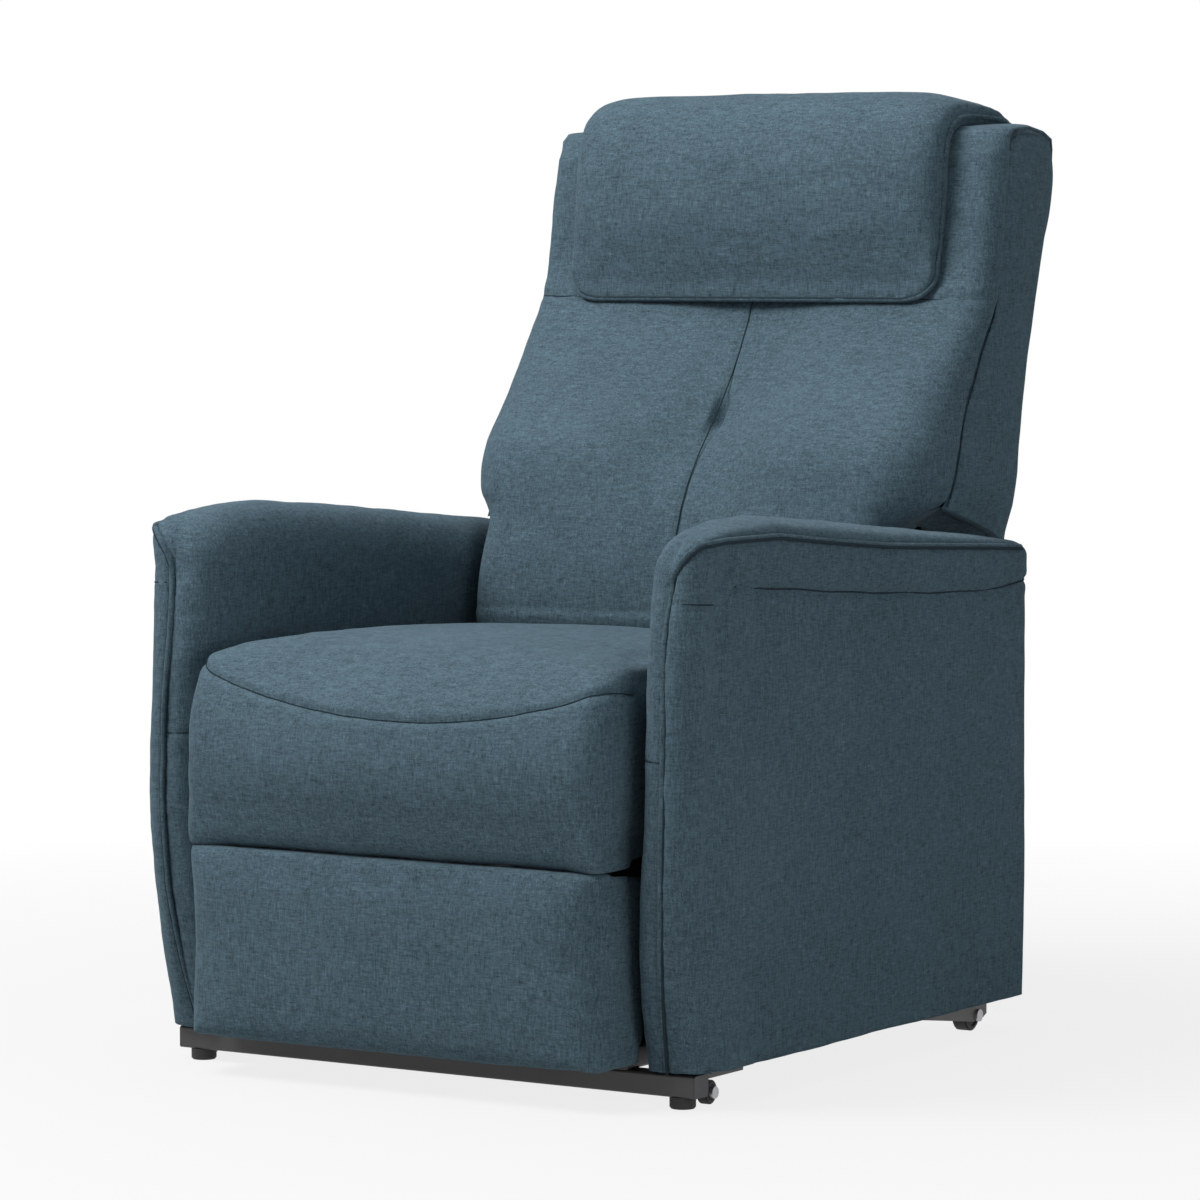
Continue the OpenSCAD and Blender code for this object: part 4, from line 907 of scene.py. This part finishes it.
# Middle seam, tuft, pull lines and the seam across under the pillow
middle = np.array([(0, back_front_y(0, z), z) for z in np.linspace(455, 842, 130)])
seam("back_middle_seam", [back], middle, "back", 2.2, 3.6, 0.5, 61, 40)
across = np.array([(x, back_front_y(x, 843), 843 + 1.5 * math.sin(x / 60)) for x in np.linspace(-300, 300, 120)])
seam("back_cross_seam", [back], across, "back", 2.6, 4.0, 0.6, 62, 30)
p, nrm = points_of(back)
tuft = np.array([0, back_front_y(0, 703), 703])
r = p - tuft
flat_r = np.sqrt(r[:, 0] ** 2 + r[:, 2] ** 2)
slit = np.sqrt((r[:, 0] / 6.5) ** 2 + ((r[:, 2] - 6) / 17) ** 2)
dent = 15 * np.exp(-(slit**2)) + 5 * np.exp(-((flat_r / 34) ** 2))
angle = np.arctan2(r[:, 2], r[:, 0])
dent += 0.8 * np.cos(4 * angle + 0.6) * np.exp(-((flat_r - 26) / 20) ** 2)
front_side = (nrm[:, 1] < 0) & (np.abs(r[:, 1]) < 90)
p += nrm * (-dent * front_side)[:, None]
move_points(back, p)
soften(back, 1.2, 120, 63, 0.3)
place(back, "back", ["back_cushion"])

REAR = np.array([(200, 268), (577, 376), (654, 399), (793, 435), (887, 461), (946, 478), (987, 487), (1010, 486.5),
                 (1022, 478), (1028, 466)])


def rear_y(z):
    return curve(REAR[:, 0], REAR[:, 1], z, 10) + 4.5 * np.clip(1 - ((z - 962) / 46) ** 2, 0, 1)


def back_side_form():
    """Side panel of the back with its rounded rear corner; rows from its lower edge up."""
    rows = []
    for r in np.concatenate([[-0.03, -0.015], np.linspace(0, 1, 120)]):
        s = max(r, 0)
        z0 = 607 + s * 401
        ys = float(np.interp(z0, BACK_ROWS[:, 0], BACK_ROWS[:, 4])) + 3
        yr = float(rear_y(z0))
        wide = max(306.5, float(np.interp(z0, BACK_ROWS[:, 0], BACK_ROWS[:, 1])) - 0.5)
        cr = BACK_CORNER + 14 * (1 - s)
        side = np.concatenate([
            [(wide - 6, ys - 1), (wide - 1.5, ys + 1.5), (wide, ys + 5)], np.stack([
                wide + 3.0 * np.sin(math.pi * np.linspace(0.04, 0.96, 30)),
                np.linspace(ys + 8, max(yr - cr - 2, ys + 10), 30)], 1),
            arc(wide - cr, yr - cr, cr, cr, 3, 90), [(wide - cr - 34, yr)]
        ])
        plan = resample(side, 64)
        low = curve([200, 212, 318, 332, 346], [607, 604, 574, 567, 564], plan[:, 1], 6)
        top = curve([350, 361, 374, 405, 432, 452, 466, 486], [1008, 1016, 1024, 1027, 1023, 1016, 1008, 999],
                    plan[:, 1], 5)
        z = low + s * (top - low) - 2.5 * (r < 0)
        inward = 14.0 if r < -0.02 else 0.0
        rows.append(np.stack([plan[:, 0] - inward, plan[:, 1], z], 1))
    rim = rows[-1]
    along = np.gradient(rim[:, :2], axis=0)
    inside = np.stack([-along[:, 1], along[:, 0], np.zeros(len(along))], 1)
    inside = unit(inside)
    for inward, up in ((1, 4), (4, 8), (10, 11), (24, 12)):
        rows.append(rim + inside * inward + [0, 0, up])
    return rows


side_rows = back_side_form()
for side, word in ((1, "left"), (-1, "right")):
    points, faces = grid_mesh(side_rows)
    panel = make("back_side_cover_" + word, points * [side, 1, 1], faces, fabric, weld=0)
    if side > 0:
        panel.data.flip_normals()
    edge = np.array([row[1] for row in side_rows[3:124]]) * [side, 1, 1]
    press(panel, edge, 0.8, 4.0, 0.8, 71, 0.5, 28)
    press(back, edge, 1.2, 4.0, 0.8, 72, 0.5, 26)
    high = np.clip((edge[:, 2:] - 800) / 50, 0, 1)
    cord = edge + [side * 2.0, -1.4, 0] + high * [side * 1.3, -1.2, 0]
    place(tube("back_side_seam_" + word, cord, 1.3, fabric_bias, sides=6), "back")
    soften(panel, 1.0, 110, 74, 0.2)
    place(panel, "back", ["back_side_" + word])


def gusset_form():
    """Cloth that closes the underside of a wing, from its lower edge in to the narrow part of the back."""
    rows = []
    for t in np.linspace(0, 1, 18):
        start = float(curve([0, 0.1, 0.22, 0.46, 0.73, 1], [213, 200, 188, 160, 140, 118], t))
        y = np.linspace(start, 340 + 6 * t, 50)
        edge = curve([120, 165, 212, 320, 345], [606, 606, 606, 575, 571], y, 8)
        drop = float(curve([0, 0.12, 0.5, 0.75, 1], [0, 2.5, 10, 16, 25], t))
        rows.append(np.stack([np.full(50, 305 - 41 * t), y, edge + 3 - drop], 1))
    return rows


for side, word in ((1, "left"), (-1, "right")):
    points, faces = grid_mesh(gusset_form())
    gusset = make("back_gusset_" + word, points * [side, 1, 1], faces, fabric, weld=0)
    soften(gusset, 0.8, 40, 76, 0.3)
    place(gusset, "back")


def rear_form():
    rows = []
    for z in np.concatenate([np.linspace(200, 571, 60), np.linspace(572, 1020, 90)]):
        half = 264.0 if z < 571.5 else 266.0 - 12 * max(0.0, (z - 975) / 45) ** 2
        x = np.linspace(-half, half, 90)
        bow = 2.5 * (1 - (np.abs(x) / half) ** 6)
        corner = 8.0 * np.clip((np.abs(x) - (half - 12)) / 12, 0, 1) ** 2 if z < 571.5 else 0
        crest = 1018 - 34 * np.clip((np.abs(x) - 205) / 61, 0, 1) ** 2
        high = 571.5 + (z - 571.5) * (crest - 571.5) / (1020 - 571.5) if z > 571.5 else np.full(90, z)
        rows.append(np.stack([x, rear_y(high) + bow - 2.5 - corner, high], 1))
    lip = rows[-1].copy()
    lip[:, 1] -= 9
    lip[:, 2] += 0.5
    foot = rows[0].copy()
    foot[:, 1] -= 10
    foot[:, 2] += 1
    return [foot] + rows + [lip]


points, faces = grid_mesh(rear_form())
rear = make("back_rear_cover", points, faces, fabric, weld=0)
thick = rear.modifiers.new("thick", "SOLIDIFY")
thick.thickness = 4 * MM
thick.offset = 1.0
apply_modifiers(rear)
press(rear, np.array([(x, float(rear_y(571)), 571) for x in np.linspace(-266, 266, 40)]), 2.5, 4, 0.3, 81)
soften(rear, 0.8, 130, 82, 0.2)
place(rear, "back", ["back_rear_panel"])


# ---- Headrest pillow -------------------------

PILLOW = np.array([
    (275, 838, .1), (293, 862, .5), (303, 895, .78), (307.5, 930, .96), (311, 975, 1), (313, 1000, .97),
    (321, 1029, .9), (337, 1042, .84), (385, 1044, .72), (430, 1042, .54), (464, 1037, .34),
    (481, 1030, .24), (489, 1020, .13), (489.5, 1000, .12), (489.5, 930, .12)
])
PILLOW_W, PILLOW_T = 246.0, 51.0


def pillow_form():
    spine = smooth_path(PILLOW, 150, 2)
    step = np.linalg.norm(np.diff(spine[:, :2], axis=0), axis=1)
    s = np.concatenate([[0], np.cumsum(step)])
    tangent = np.gradient(spine[:, :2], axis=0)
    normal = np.stack([-tangent[:, 1], tangent[:, 0]], 1)
    normal = unit(normal)
    for _ in range(3):
        normal[1:-1] = (normal[:-2] + normal[1:-1] + normal[2:]) / 3
    normal = unit(normal)
    u = np.sin(np.linspace(-1, 1, 121) * math.pi / 2)
    u = 0.55 * u + 0.45 * np.linspace(-1, 1, 121)
    outer, inner = [], []
    for k in range(len(spine)):
        near = min(s[k] / 34, 1)
        half = PILLOW_W - 34 * (1 - math.sqrt(max(1 - (1 - near) ** 2, 0)))
        edge = 19.0 * min(1, spine[k, 2] / 0.5)
        x = u * half
        t = PILLOW_T * spine[k, 2]
        swell = edge + max(t - edge, 0) * (1 - np.abs(u) ** 9) ** 0.5
        start = math.sqrt(max(1 - (1 - min(s[k] / 30, 1)) ** 2, 0))
        swell = 4.5 + (swell - 4.5) * start
        out = spine[k, :2] + normal[k] * swell[:, None]
        into = spine[k, :2] + normal[k] * 0.6
        outer.append(np.stack([x, out[:, 0], out[:, 1]], 1))
        inner.append(np.stack([x, np.full(len(x), into[0]), np.full(len(x), into[1])], 1))
    rings = [np.concatenate([a, b[::-1]]) for a, b in zip(outer, inner)]
    raised = 4.5 + 5.5 * np.clip(s / 45, 0, 1) * np.clip(spine[:, 2] / 0.5, 0, 1)
    border = spine[:, :2] + normal * raised[:, None]
    halves = PILLOW_W - 34 * (1 - np.sqrt(np.maximum(1 - (1 - np.minimum(s / 34, 1)) ** 2, 0)))
    right = np.stack([halves + 0.5, border[:, 0], border[:, 1]], 1)
    return rings, right


pillow_rings, pillow_side = pillow_form()
pillow = make("headrest_cover", *closed_mesh(pillow_rings), fabric)
bottom_edge = np.stack([
    np.linspace(-pillow_side[0, 0], pillow_side[0, 0], 60), np.full(60, pillow_side[0, 1]),
    np.full(60, pillow_side[0, 2])], 1)
pillow_edge = np.concatenate([pillow_side[::-1] * [-1, 1, 1], bottom_edge[1:-1], pillow_side])
pillow_edge = resample(pillow_edge, 420)
press(pillow, pillow_edge, 1.6, 4.0, 0.7, 91, 0.6, 19)
soften(pillow, 1.2, 90, 92, 0.35)
place(pillow, "headrest", ["headrest_pillow"])
place(tube("headrest_piping", pillow_edge, 3.2, fabric_bias, wobble=0.04), "headrest")
# A thin dark cord beside the piping: painted shadow along it.
piping_shadow_line = pillow_edge * [0.991, 1, 1] + [0, -1.2, 1.2]
place(tube("headrest_piping_shadow", piping_shadow_line, 1.9, painted_seam_shadow, sides=8), "headrest")


# ---- Handset pocket --------------------------

def pocket_form():
    rows = []
    for z in np.linspace(335.2, 426.5, 24):
        sag = 1.0 * math.sin(math.pi * (z - 335) / 92)
        y = np.array([-30, -28.4, -27.9, -27.6, *np.linspace(-26, 26, 20), 27.6, 27.9, 28.4, 30]) - 165
        x = np.array([-353.5, -354.5, -357, -359.5, *([-360.6] * 20), -359.5, -357, -354.5, -353.5])
        x[4:-4] -= 0.4 * np.sin(np.linspace(0, math.pi, 20)) * sag
        rows.append(np.stack([x, y, np.full(len(y), z)], 1))
    low = rows[0].copy()
    low[:, 0] = np.maximum(low[:, 0], -354)
    return [low] + rows


points, faces = grid_mesh(pocket_form())
pocket = make("handset_pocket_cloth", points, faces, fabric_bias, weld=0)
place(pocket, "chair", ["handset_pocket"])
hem = pocket_form()[-1] + [-0.3, 0, 0]
place(tube("handset_pocket_hem", hem, 1.6, fabric_bias, sides=8), "chair")


# ---- Camera, light and ground ----------------

scene = bpy.context.scene
camera = bpy.data.objects.new("camera", bpy.data.cameras.new("camera"))
scene.collection.objects.link(camera)
camera.location = (3.138, -4.966, 0.894)
camera.rotation_euler = (Vector((0.062, -0.145, 0.512)) - camera.location).to_track_quat("-Z", "Y").to_euler()
camera.data.sensor_width = 36
camera.data.lens = 155.46
camera.data.clip_start, camera.data.clip_end = 0.1, 60
scene.camera = camera


def area(name, at, to, size, power, colour=(1, 1, 1)):
    lamp = bpy.data.lights.new(name, "AREA")
    lamp.shape = "DISK"
    lamp.size = size
    lamp.energy = power
    lamp.color = colour
    o = bpy.data.objects.new(name, lamp)
    scene.collection.objects.link(o)
    o.location = at
    o.rotation_euler = (Vector(to) - Vector(at)).to_track_quat("-Z", "Y").to_euler()


area("key", (-1.3, -1.75, 2.95), (0, 0, 0.7), 1.8, 118)
area("fill_right", (4.0, -1.7, 0.9), (0, 0, 0.5), 2.2, 44)
area("top", (0.0, 0.2, 3.4), (0, 0, 0.6), 2.0, 26)


def seen_rays(tree):
    """1 for the rays that show the background: from the camera, in a reflection or through glass."""
    path = tree.nodes.new("ShaderNodeLightPath")
    total = path.outputs["Is Camera Ray"]
    for name in ("Is Glossy Ray", "Is Transmission Ray"):
        add = tree.nodes.new("ShaderNodeMath")
        add.operation = "ADD"
        add.use_clamp = True
        tree.links.new(total, add.inputs[0])
        tree.links.new(path.outputs[name], add.inputs[1])
        total = add.outputs[0]
    return total


def mixed(tree, share, first, second, out):
    """Mixes two shader nodes into the surface of an output node."""
    mix = tree.nodes.new("ShaderNodeMixShader")
    for k, socket in enumerate((share, first.outputs[0], second.outputs[0])):
        tree.links.new(socket, mix.inputs[k])
    tree.links.new(mix.outputs[0], out.inputs["Surface"])


def pale_floor():
    """A pale floor that runs out into the white background and keeps a soft shadow."""
    m = Nodes("pale_floor")
    m.set(Base_Color=(0.5, 0.5, 0.5, 1), Roughness=0.9, Specular_IOR_Level=0.1)
    white = m.add("ShaderNodeEmission", Color=(1, 1, 1, 1), Strength=1.0)
    away = m.add("ShaderNodeVectorMath", operation="LENGTH")
    m.link(m.place, "Object", away, "Vector")
    far = m.add("ShaderNodeMapRange")
    m.link(away, "Value", far, "Value")
    far.inputs["From Min"].default_value, far.inputs["From Max"].default_value = 0.7, 2.2
    far.inputs["To Min"].default_value, far.inputs["To Max"].default_value = 0.82, 1.0
    share = m.math("MULTIPLY", far.outputs["Result"], seen_rays(m.tree))
    mixed(m.tree, share, m.shader, white, m.out)
    size = 9000.0
    corners = [(-size, -size, 0), (size, -size, 0), (size, size, 0), (-size, size, 0)]
    floor = make("floor", corners, [(0, 1, 2, 3)], m.material, weld=0)


pale_floor()
world = bpy.data.worlds.new("studio")
scene.world = world
world.use_nodes = True
tree = world.node_tree
tree.nodes.clear()
out = tree.nodes.new("ShaderNodeOutputWorld")
ambient, white = (tree.nodes.new("ShaderNodeBackground") for _ in range(2))
ambient.inputs["Color"].default_value, ambient.inputs["Strength"].default_value = (0.70, 0.81, 0.88, 1), 0.24
white.inputs["Color"].default_value, white.inputs["Strength"].default_value = (1, 1, 1, 1), 1.0
mixed(tree, seen_rays(tree), ambient, white, out)

scene.view_settings.view_transform = "Standard"
